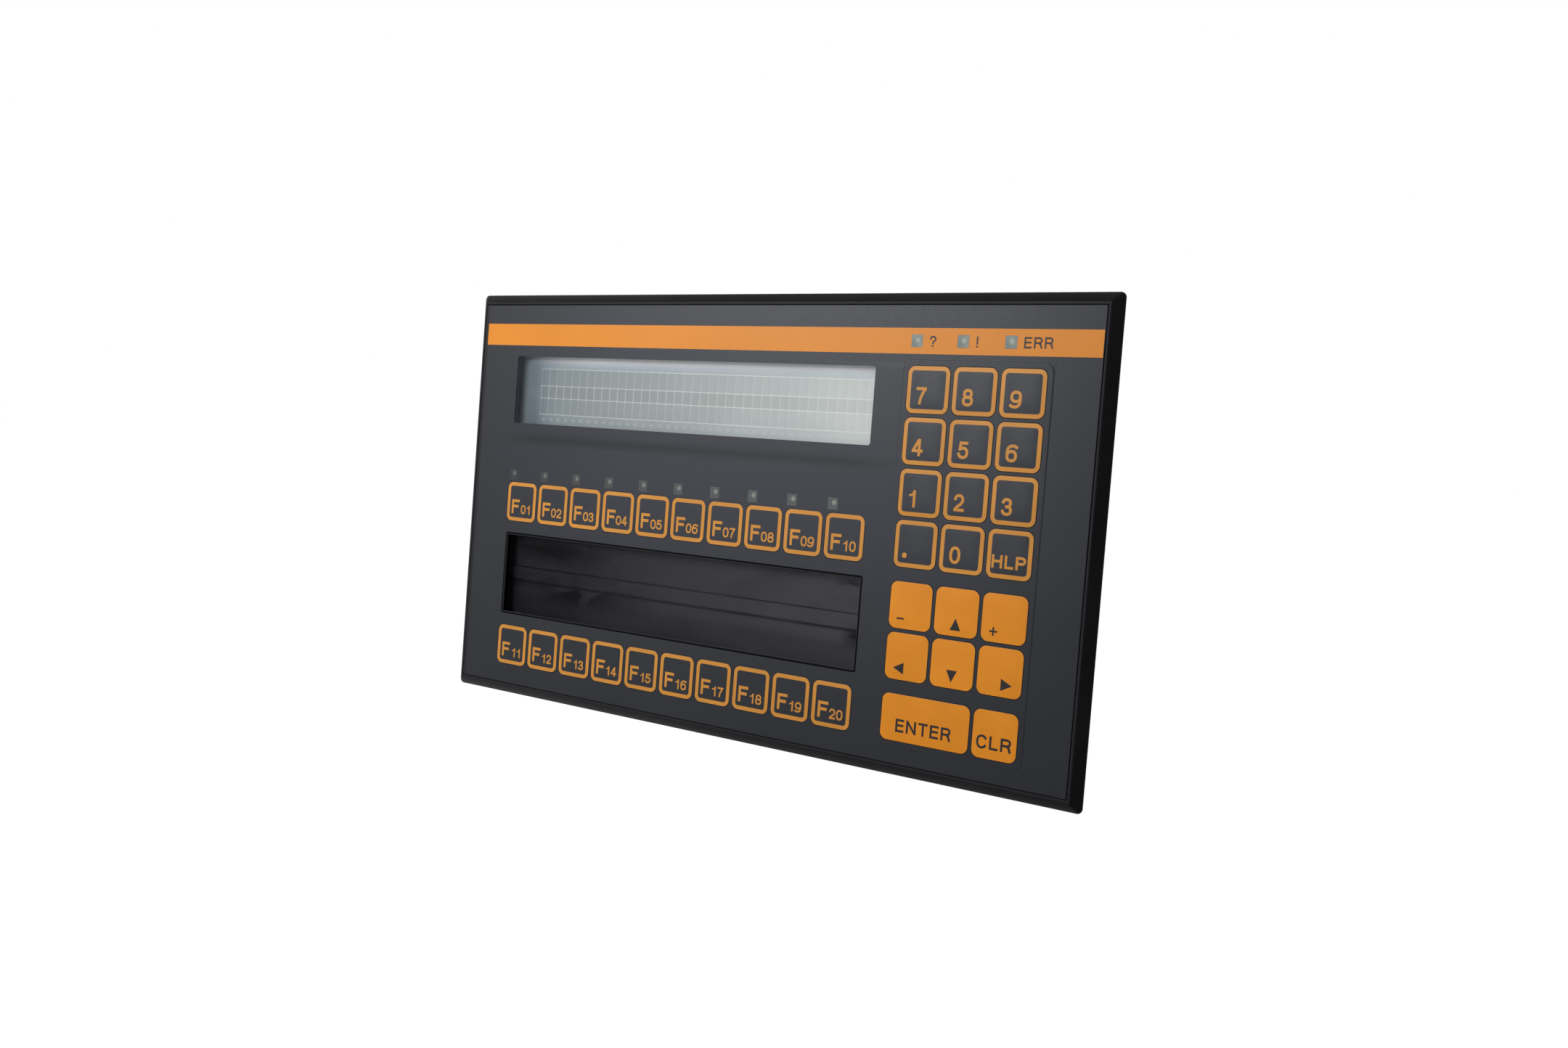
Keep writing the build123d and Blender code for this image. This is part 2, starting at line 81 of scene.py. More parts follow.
foil_low, foil_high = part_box("keypad_foil")
foil_front, foil_back = -3.0, -2.7
foil_width = (foil_high.x - foil_low.x) / mm
foil_height = (foil_high.z - foil_low.z) / mm
key_size, key_corner = 14.0, 2.3
function_keys = [f"key_f{number:02d}" for number in range(1, 21)]
number_keys = ["key_7", "key_8", "key_9", "key_4", "key_5", "key_6", "key_1", "key_2", "key_3",
               "key_point", "key_0", "key_help"]
colour_keys = ["key_minus", "key_up", "key_plus", "key_left", "key_down", "key_right", "key_clear"]
wide_key = "key_enter"
all_keys = function_keys + number_keys + colour_keys + [wide_key]
print("foil", round(foil_width, 2), "x", round(foil_height, 2), "keys", len(all_keys))

# %% [markdown]
# ## Two helpers for working in edit mode
# An operator acts on everything that is selected, and the freshly loaded solids are all selected. So each piece
# is first made the only selected object. Faces, edges and corners are then picked by where they are or where
# they look, as one would click them.

# %% Selecting
def only(piece):
    """Leave edit mode and make one piece the only selected and active object."""
    if bpy.context.object and bpy.context.object.mode != "OBJECT":
        bpy.ops.object.mode_set(mode="OBJECT")
    bpy.ops.object.select_all(action="DESELECT")
    if piece:
        piece.select_set(True)
        bpy.context.view_layer.objects.active = piece
    return piece


def pick(piece, kind, test):
    """Enter edit mode with only those FACE, EDGE or VERT parts selected that pass the test."""
    only(piece)
    bpy.ops.object.mode_set(mode="EDIT")
    bpy.ops.mesh.select_mode(type=kind)
    bpy.ops.mesh.select_all(action="DESELECT")
    shape = bmesh.from_edit_mesh(piece.data)
    parts = {"FACE": shape.faces, "EDGE": shape.edges, "VERT": shape.verts}[kind]
    chosen = [part for part in parts if test(part)]
    for part in chosen:
        part.select_set(True)
    shape.select_flush_mode()
    bmesh.update_edit_mesh(piece.data)
    return len(chosen)


def looks_forward(face):
    return face.normal.y < -0.9


def done(piece, smooth_angle=30):
    """Back to object mode, normals outwards and soft shading below the given angle."""
    if bpy.context.object and bpy.context.object.mode != "OBJECT":
        bpy.ops.object.mode_set(mode="OBJECT")
    only(piece)
    bpy.ops.object.mode_set(mode="EDIT")
    bpy.ops.mesh.select_all(action="SELECT")
    bpy.ops.mesh.normals_make_consistent(inside=False)
    bpy.ops.object.mode_set(mode="OBJECT")
    bpy.ops.object.shade_smooth_by_angle(angle=radians(smooth_angle))
    return piece


def inset(width, rise=0.0):
    """Inset the selected faces and raise what is inside, in millimetres."""
    bpy.ops.mesh.inset(thickness=width * mm, depth=rise * mm)


def bevel(width, segments=2):
    """Bevel the selected edges, with the width in millimetres."""
    bpy.ops.mesh.bevel(offset=width * mm, segments=segments, affect="EDGES")


def coat(piece, *finishes):
    """Give a piece these finishes and no others."""
    piece.data.materials.clear()
    for finish in finishes:
        piece.data.materials.append(finish)


print("helpers ready")

# %% [markdown]
# ## A plate that faces the operator
# Nearly every part of such a panel starts as a flat blank: a plane is stood up, its corners are rounded with a
# corner bevel and it is extruded to its thickness. Both the foil and the key caps begin with this helper.

# %% A flat blank and its thickness
def plate(name, width, height, x, z, front, back, corner=0.0, segments=8):
    """A flat sheet that faces the operator, with rounded corners, extruded backwards to its thickness."""
    only(None)
    bpy.ops.mesh.primitive_plane_add(size=1, location=(x * mm, front * mm, z * mm), rotation=(pi / 2, 0, 0))
    piece = bpy.context.object
    piece.name = piece.data.name = name
    piece.scale = (width * mm, height * mm, 1)
    bpy.ops.object.transform_apply(location=True, rotation=True, scale=True)
    if corner:
        pick(piece, "VERT", lambda vert: True)
        bpy.ops.mesh.bevel(affect="VERTICES", offset=corner * mm, segments=segments)
    pick(piece, "FACE", lambda face: True)
    bpy.ops.mesh.extrude_region_move(TRANSFORM_OT_translate={"value": (0, (back - front) * mm, 0)})
    return done(piece)


def combine(target, tool, how):
    """Cut a tool out of a piece or weld it on, then throw the tool away."""
    only(target)
    step = target.modifiers.new(how.lower(), "BOOLEAN")
    step.operation, step.solver, step.object = how, "EXACT", tool
    bpy.ops.object.modifier_apply(modifier=step.name)
    bpy.data.objects.remove(tool)
    return target


def join(name, pieces):
    """One object out of several."""
    only(pieces[0])
    for piece in pieces:
        piece.select_set(True)
    if len(pieces) > 1:
        bpy.ops.object.join()
    joined = bpy.context.object
    joined.name = joined.data.name = name
    return joined


print("plate, combine and join ready")

# %% [markdown]
# ## Colours and a first material
# Colours are written as on a screen and turned into the linear values that Blender calculates with. Each
# material then starts from one Principled shader, and small functions add what the real surface has: a grain
# that changes gloss and height, and a slight drift of colour. Grain sizes are real millimetres.

# %% Colour conversion and node helpers
def linear(code):
    """A screen colour such as 3A7FC0 as linear red, green, blue and full opacity."""
    parts = [int(code[i:i + 2], 16) / 255 for i in (0, 2, 4)]
    return tuple(p / 12.92 if p <= 0.04045 else ((p + 0.055) / 1.055) ** 2.4 for p in parts) + (1,)


def material(name, code, roughness, metallic=0.0, specular=0.5):
    """A named material whose Principled shader has its plain values set."""
    new = bpy.data.materials.new(name)
    new.use_nodes = True
    shader = new.node_tree.nodes["Principled BSDF"]
    shader.inputs["Base Color"].default_value = linear(code)
    shader.inputs["Roughness"].default_value = roughness
    shader.inputs["Metallic"].default_value = metallic
    shader.inputs["Specular IOR Level"].default_value = specular
    new.diffuse_color = linear(code)
    return new


def add(owner, kind, values=(), **settings):
    """One node in the tree of a material, a world or a socket, with its settings and some input values."""
    tree = owner.id_data if isinstance(owner, bpy.types.NodeSocket) else owner.node_tree
    node = tree.nodes.new("ShaderNode" + kind)
    for key, value in settings.items():
        setattr(node, key, value)
    for key, value in dict(values).items():
        node.inputs[key].default_value = value
    return node


def link(start, end):
    start.id_data.links.new(start, end)


def feed(socket, value):
    """Link a value's socket into another, or write a plain value on it."""
    if isinstance(value, bpy.types.NodeSocket):
        link(value, socket)
    else:
        socket.default_value = value


def shader_of(finish):
    return finish.node_tree.nodes["Principled BSDF"]


def place(finish, scale=(1, 1, 1)):
    """Object coordinates in metres, stretched."""
    where = add(finish, "TexCoord")
    mapping = add(finish, "Mapping", {"Scale": scale})
    link(where.outputs["Object"], mapping.inputs["Vector"])
    return mapping.outputs["Vector"]


def noise(finish, values, stretch=(1, 1, 1)):
    """The strength of a noise laid out by Object coordinates."""
    texture = add(finish, "TexNoise", values)
    link(place(finish, stretch), texture.inputs["Vector"])
    return texture.outputs["Fac"]


def blend_colours(amount, first, second):
    """A colour between two, by an amount from 0 to 1."""
    mix = add(amount, "Mix", data_type="RGBA")
    feed(mix.inputs[6], first)
    feed(mix.inputs[7], second)
    link(amount, mix.inputs[0])
    return mix.outputs[2]


def spread(value, low, high, to_low=0.0, to_high=1.0):
    """Stretch a value between two limits to another range."""
    ramp = add(value, "MapRange", {1: low, 2: high, 3: to_low, 4: to_high})
    link(value, ramp.inputs[0])
    return ramp.outputs[0]


def total(values, operation="ADD"):
    """Values or numbers joined one after another by the same operation."""
    result, owner = values[0], next((value for value in values if isinstance(value, bpy.types.NodeSocket)))
    for value in values[1:]:
        step = add(owner, "Math", operation=operation)
        feed(step.inputs[0], result)
        feed(step.inputs[1], value)
        result = step.outputs[0]
    return result


def alone(value, operation):
    """An operation on one value, such as FRACT or ABSOLUTE."""
    step = add(value, "Math", operation=operation)
    link(value, step.inputs[0])
    return step.outputs[0]


def axis(finish, letter):
    """One coordinate of the object, in metres."""
    split = add(finish, "SeparateXYZ")
    link(place(finish), split.inputs[0])
    return split.outputs[letter]


def pulse(value, centre, half_width):
    """1 at a place and 0 beyond a distance from it, both in millimetres."""
    away = alone(total([value, centre * mm], "SUBTRACT"), "ABSOLUTE")
    return spread(away, 0.0, half_width * mm, 1.0, 0.0)


def near_grid(finish, first_x, first_z, radius, pitch=15.0):
    """1 at the places of a square grid and 0 beyond a radius from them, in millimetres."""
    squares = []
    for letter, first in (("X", first_x), ("Z", first_z)):
        turns = total([total([axis(finish, letter), first * mm], "SUBTRACT"), pitch * mm], "DIVIDE")
        within = alone(total([turns, 0.5]), "FRACT")
        aside = total([total([within, 0.5], "SUBTRACT"), pitch * mm], "MULTIPLY")
        squares.append(total([aside, aside], "MULTIPLY"))
    return spread(total(squares), 0.0, (radius * mm) ** 2, 1.0, 0.0)


def edge_distance(finish, x, z, width, height):
    """Distance in metres from the nearest edge of a window, measured inwards."""
    sides = []
    for letter, centre, size in (("X", x, width), ("Z", z, height)):
        away = alone(total([axis(finish, letter), centre * mm], "SUBTRACT"), "ABSOLUTE")
        sides.append(total([size / 2 * mm, away], "SUBTRACT"))
    return total(sides, "MINIMUM")


def shade_on(finish, amounts, code):
    """Blend the present base colour towards another by the product of some amounts from 0 to 1."""
    base = shader_of(finish).inputs["Base Color"]
    present = base.links[0].from_socket if base.links else base.default_value[:]
    link(blend_colours(total(amounts, "MULTIPLY"), present, linear(code)), base)


print("orange in linear light", [round(v, 3) for v in linear("D6923F")[:3]])

# %% [markdown]
# ## Grain for moulded and printed surfaces
# No real surface is evenly smooth. A fine noise becomes a low bump and a small change of gloss, and a coarse,
# faint noise makes the colour drift. The same function serves plastic, film, paint and foam, with their own grain
# size and strength.

# %% Grain
def add_grain(finish, grain, height, gloss=0.05, drift=0.06, patch=25.0, stretch=(1, 1, 1)):
    """Bump, gloss change and colour drift. Grain, height and patch are in millimetres."""
    shader = shader_of(finish)
    fine = noise(finish, {"Scale": 1000 / grain, "Detail": 3.0, "Roughness": 0.6}, stretch)
    bump = add(finish, "Bump", {"Strength": 1.0, "Distance": height * mm})
    link(fine, bump.inputs["Height"])
    link(bump.outputs["Normal"], shader.inputs["Normal"])
    rough = shader.inputs["Roughness"].default_value
    link(spread(fine, 0.3, 0.7, rough - gloss, rough + gloss), shader.inputs["Roughness"])
    coarse = noise(finish, {"Scale": 1000 / patch, "Detail": 4.0, "Roughness": 0.55})
    base = shader.inputs["Base Color"].default_value[:]
    dark = tuple(v * (1 - drift) for v in base[:3]) + (1,)
    light = tuple(min(1, v * (1 + drift) + 0.002 * (drift > 0)) for v in base[:3]) + (1,)
    amount = spread(coarse, 0.35, 0.65)
    link(blend_colours(amount, dark, light), shader.inputs["Base Color"])
    return finish


print("grain ready")

# %% [markdown]
# ## Finishes of the front
# The plate is moulded in black plastic with a satin grain. The keypad is a clear polyester foil printed from
# behind and roughened in front, so its inks look matt and even. The filled keys have a stronger orange than the
# broad band at the top, and the frames and the legends inside them have a duller one. Some light and shade is
# painted into these colours too: a paler rim, paler foil towards the upper middle, highlights on the number keys
# and shade along the foil's edge.

# %% Plate and printed foil
half_width, half_height = cad_box[1][0] / mm, cad_box[1][2] / mm
# black moulded plate, satin, with painted light along its rim
rim_middle, rim_reach = 3.25, 0.6
plate_plastic = material("black_moulded_plastic", "0A0A0C", 0.4, specular=0.05)
add_grain(plate_plastic, 0.5, 0.006, gloss=0.05, drift=0.15)
from_outline = edge_distance(plate_plastic, 0, 0, 2 * half_width, 2 * half_height)
shade_on(plate_plastic, [pulse(from_outline, rim_middle, rim_reach)], "29292E")


def ink(name, code, drift, patch, height=0.004, gloss=0.05):
    """Matt ink behind the roughened foil."""
    return add_grain(material(name, code, 0.42, specular=0.2), 0.35, height, gloss, drift, patch)


# grey ink under a matt polyester foil; painted light makes it paler towards the upper middle, and a faint band of
# painted shade lies below the display
foil_grey = ink("grey_printed_foil", "14161B", 0.06, 40)
shade_on(foil_grey, [spread(axis(foil_grey, "Z"), -0.08, 0.004),
                     spread(axis(foil_grey, "X"), 0.116, 0.085, 0.3, 1.0),
                     spread(axis(foil_grey, "X"), -0.12, -0.05, 0.4, 1.0)], "2A2C33")
# painted shade: a faint dark band below the display
shade_band_middle, shade_band_reach = 20.2, 2.6
shade_on(foil_grey, [pulse(axis(foil_grey, "Z"), shade_band_middle, shade_band_reach),
                     spread(axis(foil_grey, "X"), -0.108, -0.09),
                     spread(axis(foil_grey, "X"), 0.04, 0.06, 0.7, 0.0)], "0B0C10")
# the same grey with a painted highlight in the middle of each raised number key, fainter on the lower rows
number_grey = foil_grey.copy()
number_grey.name = "grey_number_print_with_highlight"
number_x, number_z = middle("key_7")
shade_on(number_grey, [near_grid(number_grey, number_x + 0.9, number_z + 1.2, 5.0),
                       spread(axis(number_grey, "Z"), -0.01, 0.05, 0.25, 0.75)], "38393D")
# orange ink of the broad band
band_orange = ink("orange_band_print", "CB7D20", 0.03, 40)
# painted shade darkens both inks in a thin line along the foil's edge, where it meets the plate, and a wider dark
# strip lies at its left end
strip_start, strip_end = 1.35, 1.2
for finish in (foil_grey, band_orange):
    all_round = spread(edge_distance(finish, 0, 0, foil_width, foil_height), 0.00012, 0.0003, 1.0, 0.0)
    at_left = spread(axis(finish, "X"), (strip_end - foil_width / 2) * mm, (strip_start - foil_width / 2) * mm,
                     1.0, 0.0)
    shade_on(finish, [total([all_round, at_left], "MAXIMUM")], "070709")
# orange ink of the keys
key_orange = ink("orange_key_print", "D38218", 0.05, 14)
# duller ochre ink of the frames and of the legends inside them
frame_ochre = ink("ochre_frame_print", "BE8134", 0.05, 14)
# dark ink of the words and arrows
dark_ink = ink("dark_legend_print", "1D191A", 0.05, 25.0, 0.003, 0.04)
print("front finishes", [m.name for m in (plate_plastic, foil_grey, number_grey, band_orange, key_orange,
                                          frame_ochre, dark_ink)])

# %% [markdown]
# ## The front plate
# The plate is one moulding with sloped edges, a narrow rim round the foil, ribs and hooks behind. Its solid has
# all of that, but with knife-sharp edges, and a moulding never has those. A copy of the solid is merged, the
# front edges get a small bevel so that they catch the light, and the copy takes the solid's place.

# %% Copy the plate and soften its front edges
def softened_copy(node, name, finish, width, test, segments=2, angle=30):
    """A merged copy of a solid with a bevel on the chosen edges, which takes the solid's place."""
    piece = bpy.data.objects.new(name, solids[node].data.copy())
    bpy.context.scene.collection.objects.link(piece)
    pick(piece, "VERT", lambda vert: True)
    bpy.ops.mesh.remove_doubles(threshold=0.000001)
    bpy.ops.mesh.select_all(action="SELECT")
    bpy.ops.mesh.dissolve_limited(angle_limit=radians(0.5))
    chosen = pick(piece, "EDGE", test)
    if chosen:
        bevel(width, segments)
    done(piece, angle)
    coat(piece, finish)
    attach(piece, "panel")
    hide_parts(node)
    print(name, "bevelled edges", chosen, "faces", len(piece.data.polygons))
    return piece


def on_front_edge(edge):
    """The outline where side and slope meet, and the rim's outline on the front face."""
    border, slope_start, front_face, near = 4.2, -0.4, -3, 0.05
    depths = [vert.co.y / mm for vert in edge.verts]
    out = [max(abs(vert.co.x / mm) - half_width + border, abs(vert.co.z / mm) - half_height + border)
           for vert in edge.verts]
    level = max(depths) - min(depths) < near
    return level and min(out) > 0.2 and min(abs(depths[0] - slope_start), abs(depths[0] - front_face)) < near


softened_copy("front_frame", "front_plate", plate_plastic, 0.22, on_front_edge, angle=28)

# %% [markdown]
# ## The printed foil
# The foil is one sheet of polyester with an embossed field round the number, arrow and entry keys. A plate makes
# the sheet, a second plate with a sloped edge is welded on for the embossed field, and one cutter takes out the
# windows and the gaps round the keys. The orange band is not a separate part: it is printed, so two cuts across
# the sheet mark its edges and the faces between them get the orange.

# %% Sheet and embossed field
def sloped_field(name, width, height, x, z, corner, rise, edge):
    """A low field with a soft sloped edge, from inside the sheet up to its own height."""
    piece = plate(name, width, height, x, z, foil_front, foil_back - 0.1, corner)
    pick(piece, "FACE", looks_forward)
    inset(edge * 0.3, rise * 0.12)
    inset(edge * 0.4, rise * 0.76)
    inset(edge * 0.3, rise * 0.12)
    return done(piece, 60)


foil = plate("printed_foil", foil_width, foil_height, 0, 0, foil_front, foil_back, 0.3, 3)
right_x, top_z = middle("key_9")
left_x, _ = middle("key_7")
_, low_z = middle("key_clear")
field_width = right_x - left_x + key_size + 3.9
field_height = top_z - low_z + key_size + 3.9
field = sloped_field("field", field_width, field_height, (left_x + right_x) / 2, (top_z + low_z) / 2,
                     3.2, 0.18, 0.5)
combine(foil, field, "UNION")
print("embossed field", round(field_width, 2), "x", round(field_height, 2))

# %% [markdown]
# The cutter holds a block for every window and a rounded block for every key. They don't touch each other, so
# they are joined into one tool and cut in a single step.

# %% Cut the windows and the key gaps
label_x, label_z, label_width, label_height = -26.3, -27.95, 149.2, 29.1
display_x, display_z, display_width, display_height = -26.8, 37.3, 147.9, 23.6
light_size, light_row = 3.7, 7.2
status_row, light_offset = 56.75, 4.95
function_lights = [(middle(name)[0] - light_offset, light_row) for name in function_keys[:10]]
status_lights = [(middle(name)[0] - light_offset, status_row) for name in ("key_7", "key_8", "key_9")]
play = 0.1
front, back = foil_front - 0.4, foil_back + 0.2
cutters = [plate("cut", label_width, label_height, label_x, label_z, front, back, 0.8, 6),
           plate("cut", display_width, display_height, display_x, display_z, front, back, 0.8, 6)]
for x, z in function_lights + status_lights:
    cutters.append(plate("cut", light_size, light_size, x, z, front, back, 0.15, 2))
for name in all_keys:
    low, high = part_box(name)
    x, z = middle(name)
    cutters.append(plate("cut", (high.x - low.x) / mm + 2 * play, key_size + 2 * play, x, z, front, back,
                         key_corner + play))
combine(foil, join("cutter", cutters), "DIFFERENCE")
print("cut-outs", len(cutters), "faces", len(foil.data.polygons))

# %% [markdown]
# Now the print. Two level cuts run across the foil at the edges of the band, and the front faces between them
# take the second material.

# %% Print the orange band
band_top, band_bottom = 60.5, 52.95
coat(foil, foil_grey, band_orange)
for z in (band_top, band_bottom):
    pick(foil, "FACE", lambda face: True)
    bpy.ops.mesh.bisect(plane_co=(0, 0, z * mm), plane_no=(0, 0, 1))
painted = pick(foil, "FACE", lambda face: looks_forward(face)
               and band_bottom < face.calc_center_median().z / mm < band_top)
foil.active_material_index = 1
bpy.ops.object.material_slot_assign()
done(foil, 30)
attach(foil, "panel")
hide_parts("keypad_foil")
print("band faces", painted)

# %% [markdown]
# ## Key caps
# Each key is an embossed pad of the same printed polyester. A rounded blank is extruded backwards, and its front
# is then inset again and again: first the soft shoulder, then the printed frame. The domed middle is extruded
# and shrunk in steps. New faces inherit the material of the face that they came from, so the frame is printed by
# giving the face its orange just before the inset that leaves the frame behind, and the middle its grey after
# it. One cap of each kind is modelled at the origin and then copied to its places.

# %% Model one cap of each kind
def paint(piece, index):
    piece.active_material_index = index
    bpy.ops.object.material_slot_assign()


def cap(name, width, steps, materials, framed):
    """A key cap at the origin. A step is an inset, or for the crown a shrinking, and a rise in millimetres."""
    piece = plate(name, width, key_size, 0, 0, steps["start"], foil_back, key_corner)
    coat(piece, *materials)
    pick(piece, "FACE", looks_forward)
    for width_in, rise in steps["shoulder"]:
        inset(width_in, rise)
    paint(piece, 1)
    for width_in, rise in steps["frame"]:
        inset(width_in, rise)
    if framed:
        paint(piece, 0)
    inset(0.05)
    for share, rise in steps["crown"]:
        bpy.ops.mesh.extrude_region_move(TRANSFORM_OT_translate={"value": (0, -rise * mm, 0)})
        bpy.ops.transform.resize(value=(share, 1, share), center_override=(0, 0, 0))
    return done(piece, 40)


flat_steps = {"start": -3.0, "shoulder": [(0.1, 0.02), (0.075, 0.01)], "frame": [(0.6, 0.004), (0.65, 0.004)],
              "crown": [(0.7, 0.004)]}
raised_steps = {"start": -3.17, "shoulder": [(0.05, 0.055), (0.08, 0.03)], "frame": [(0.3, 0.015), (0.95, 0.03)],
                "crown": [(0.8, 0.045), (0.7, 0.025), (0.6, 0.008)]}
flat_cap = cap("flat_cap", key_size, flat_steps, [foil_grey, frame_ochre], True)
number_cap = cap("number_cap", key_size, raised_steps, [number_grey, frame_ochre], True)
colour_cap = cap("colour_cap", key_size, raised_steps, [foil_grey, key_orange], False)
wide_cap = cap("wide_cap", 29.0, raised_steps, [foil_grey, key_orange], False)
for piece in (flat_cap, number_cap, colour_cap, wide_cap):
    front = min(vert.co.y for vert in piece.data.vertices) / mm
    print(piece.name, "front", round(front, 3), "faces", len(piece.data.polygons))

# %% [markdown]
# ## Letters drawn with a broad pen
# The legends are plain technical lettering. A font file would bring shapes of its own, so each sign is drawn as
# strokes in a unit square: a stroke is a line or part of a slightly squared oval, and it is widened to a ribbon
# with mitred bends and square ends. This is the one place where points are written instead of modelled by hand,
# because no primitive starts near a letter. The numbers below give each sign its width and its strokes.

# %% The pen strokes of every sign
def oval(cx, cy, rx, ry, start, end, steps=12):
    """Part of a slightly squared oval, from one angle to another in degrees."""
    points = []
    for step in range(steps + 1):
        angle = radians(start + (end - start) * step / steps)
        c, s = cos(angle), sin(angle)
        reach = (abs(c) ** 2.35 + abs(s) ** 2.35) ** (-1 / 2.35)
        points.append((cx + rx * c * reach, cy + ry * s * reach))
    return points


def ring(cx, cy, rx, ry):
    return oval(cx, cy, rx, ry, 0, 360, 24)[:-1] + ["closed"]


six = [ring(0.5, 0.315, 0.5, 0.315), ["flat end"] + oval(0.62, 0.60, 0.62, 0.40, 48, 180, 9) + [(0.0, 0.315)]]
signs = {
    "0": (0.70, [ring(0.5, 0.5, 0.5, 0.5)]),
    "1": (0.46, [[(1, 0), (1, 1)], ["thin", "flat end", (0.0, 0.74), (0.55, 0.80), (0.95, 0.97)]]),
    "2": (0.68, [["flat end"] + oval(0.49, 0.70, 0.47, 0.30, 168, -20, 10)
                 + [(0.72, 0.40), (0.30, 0.22), (0.06, 0.02)],
                 [(0.04, 0), (1, 0)]]),
    "3": (0.68, [["flat end"] + oval(0.47, 0.755, 0.44, 0.245, 165, -80, 10) + [(0.30, 0.51)],
                 ["flat start"] + oval(0.49, 0.26, 0.49, 0.26, 80, -165, 10)]),
    "4": (0.72, [[(0.72, 0), (0.72, 1)], ["flat start", "flat end", (0.69, 1.06), (0.02, 0.30)],
                 [(0, 0.26), (1, 0.26)]]),
    "5": (0.68, [[(0.16, 1), (0.90, 1)], ["flat start", "flat end", (0.17, 0.98), (0.06, 0.47)],
                 ["flat start"] + oval(0.47, 0.325, 0.52, 0.325, 138, -162, 12)]),
    "6": (0.70, six),
    "7": (0.68, [[(0, 1), (1, 1)], ["flat start", (0.98, 0.98), (0.62, 0.60), (0.42, 0.28), (0.34, 0)]]),
    "8": (0.70, [ring(0.5, 0.755, 0.42, 0.245), ring(0.5, 0.27, 0.5, 0.27)]),
    "9": (0.70, [[point if isinstance(point, str) else (1 - point[0], 1 - point[1]) for point in stroke]
                 for stroke in six]),
    "C": (0.84, [oval(0.52, 0.5, 0.52, 0.52, 38, 322, 22)]),
    "E": (0.74, [[(0, 0), (0, 1)], [(0, 1), (1, 1)], [(0, 0.52), (0.92, 0.52)], [(0, 0), (1, 0)]]),
    "F": (0.74, [[(0, 0), (0, 1)], [(0, 1), (1, 1)], [(0, 0.53), (0.84, 0.53)]]),
    "H": (0.84, [[(0, 0), (0, 1)], [(1, 0), (1, 1)], [(0, 0.53), (1, 0.53)]]),
    "L": (0.68, [[(0, 0), (0, 1)], [(0, 0), (1, 0)]]),
    "N": (0.86, [[(0, 0), (0, 1)], [(1, 0), (1, 1)], ["flat start", "flat end", (0.02, 1.0), (0.98, 0.0)]]),
    "P": (0.78, [[(0, 0), (0, 1)],
                 [(0, 1), (0.6, 1)] + oval(0.6, 0.735, 0.4, 0.265, 80, -80, 8) + [(0.6, 0.47), (0, 0.47)]]),
    "R": (0.82, [[(0, 0), (0, 1)],
                 [(0, 1), (0.58, 1)] + oval(0.58, 0.74, 0.40, 0.26, 80, -80, 8) + [(0.58, 0.48), (0, 0.48)],
                 ["flat start", (0.55, 0.46), (0.86, 0.36), (0.94, 0.10), (1.0, 0.0)]]),
    "T": (0.80, [[(0, 1), (1, 1)], [(0.5, 0), (0.5, 1)]]),
    "?": (0.66, [oval(0.5, 0.72, 0.48, 0.28, 172, -30, 10) + [(0.62, 0.46), (0.52, 0.30)],
                 ["dot", (0.5, 0.0)]]),
    "!": (0.16, [[(0.5, 0.32), (0.5, 1)], ["dot", (0.5, 0.0)]]),
    "-": (0.60, [[(0, 0.5), (1, 0.5)]]),
    "+": (1.00, [[(0, 0.5), (1, 0.5)], [(0.5, 0), (0.5, 1)]]),
}
print("signs", " ".join(sorted(signs)))

# %% [markdown]
# A ribbon follows each stroke at a constant width. It is cut into short pieces so that it can later lie down on a
# domed key. Where two strokes of a sign cross, the second lies a few thousandths of a millimetre higher, like
# overlapping ink, so that no two faces share a place.

# %% From strokes to ribbons
def short_steps(points, closed, step=0.55):
    """The same line with extra points, so that no piece is longer than a step in millimetres."""
    result = []
    for start, end in zip(points, points[1:] + ([points[0]] if closed else [])):
        cuts = max(1, int((end - start).length / step + 0.99))
        result += [start.lerp(end, cut / cuts) for cut in range(cuts)]
    return result if closed else result + [points[-1]]


def ribbon(points, width, words):
    """Pairs of left and right edge points of a line drawn with a broad pen."""
    closed = "closed" in words
    if not closed:
        first, last = (points[0] - points[1]).normalized(), (points[-1] - points[-2]).normalized()
        points = ([points[0] + first * (0 if "flat start" in words else width / 2)] + points[1:-1]
                  + [points[-1] + last * (0 if "flat end" in words else width / 2)])
    points = short_steps(points, closed)
    pairs = []
    for i, point in enumerate(points):
        before = (point - points[i - 1]).normalized() if i or closed else None
        after = (points[(i + 1) % len(points)] - point).normalized() if i < len(points) - 1 or closed else None
        before, after = before or after, after or before
        along = (before + after).normalized()
        across = Vector((-along.y, along.x))
        reach = width / 2 / max(0.45, across.dot(Vector((-before.y, before.x))))
        pairs.append((point + across * reach, point - across * reach))
    return pairs


def sign_strokes(sign, left, bottom, height, pen, stretch=1.0):
    """The strokes of a sign as (level, closed, rows of points), and the sign's width."""
    share, strokes = signs[sign]
    width = share * height * stretch
    drawn = []
    for level, stroke in enumerate(strokes):
        words = [point for point in stroke if isinstance(point, str)]
        points = [Vector((left + pen / 2 + u * (width - pen), bottom + pen / 2 + v * (height - pen)))
                  for u, v in (point for point in stroke if not isinstance(point, str))]
        if "dot" in words:
            points = [points[0] - Vector((pen * 0.08, 0)), points[0] + Vector((pen * 0.08, 0))]
        drawn.append((level, "closed" in words, ribbon(points, pen * (0.72 if "thin" in words else 1), words)))
    return drawn, width


def write(text, left, bottom, height, pen, gap=0.18, stretch=1.0):
    """All strokes of a word and its right end."""
    drawn, x = [], left
    for sign in text:
        new, width = sign_strokes(sign, x, bottom, height, pen, stretch)
        drawn += new
        x += width + gap * height
    return drawn, x - gap * height


print("ENTER at 3.8 mm is", round(write("ENTER", 0, 0, 3.8, 0.58)[1], 2), "mm wide")

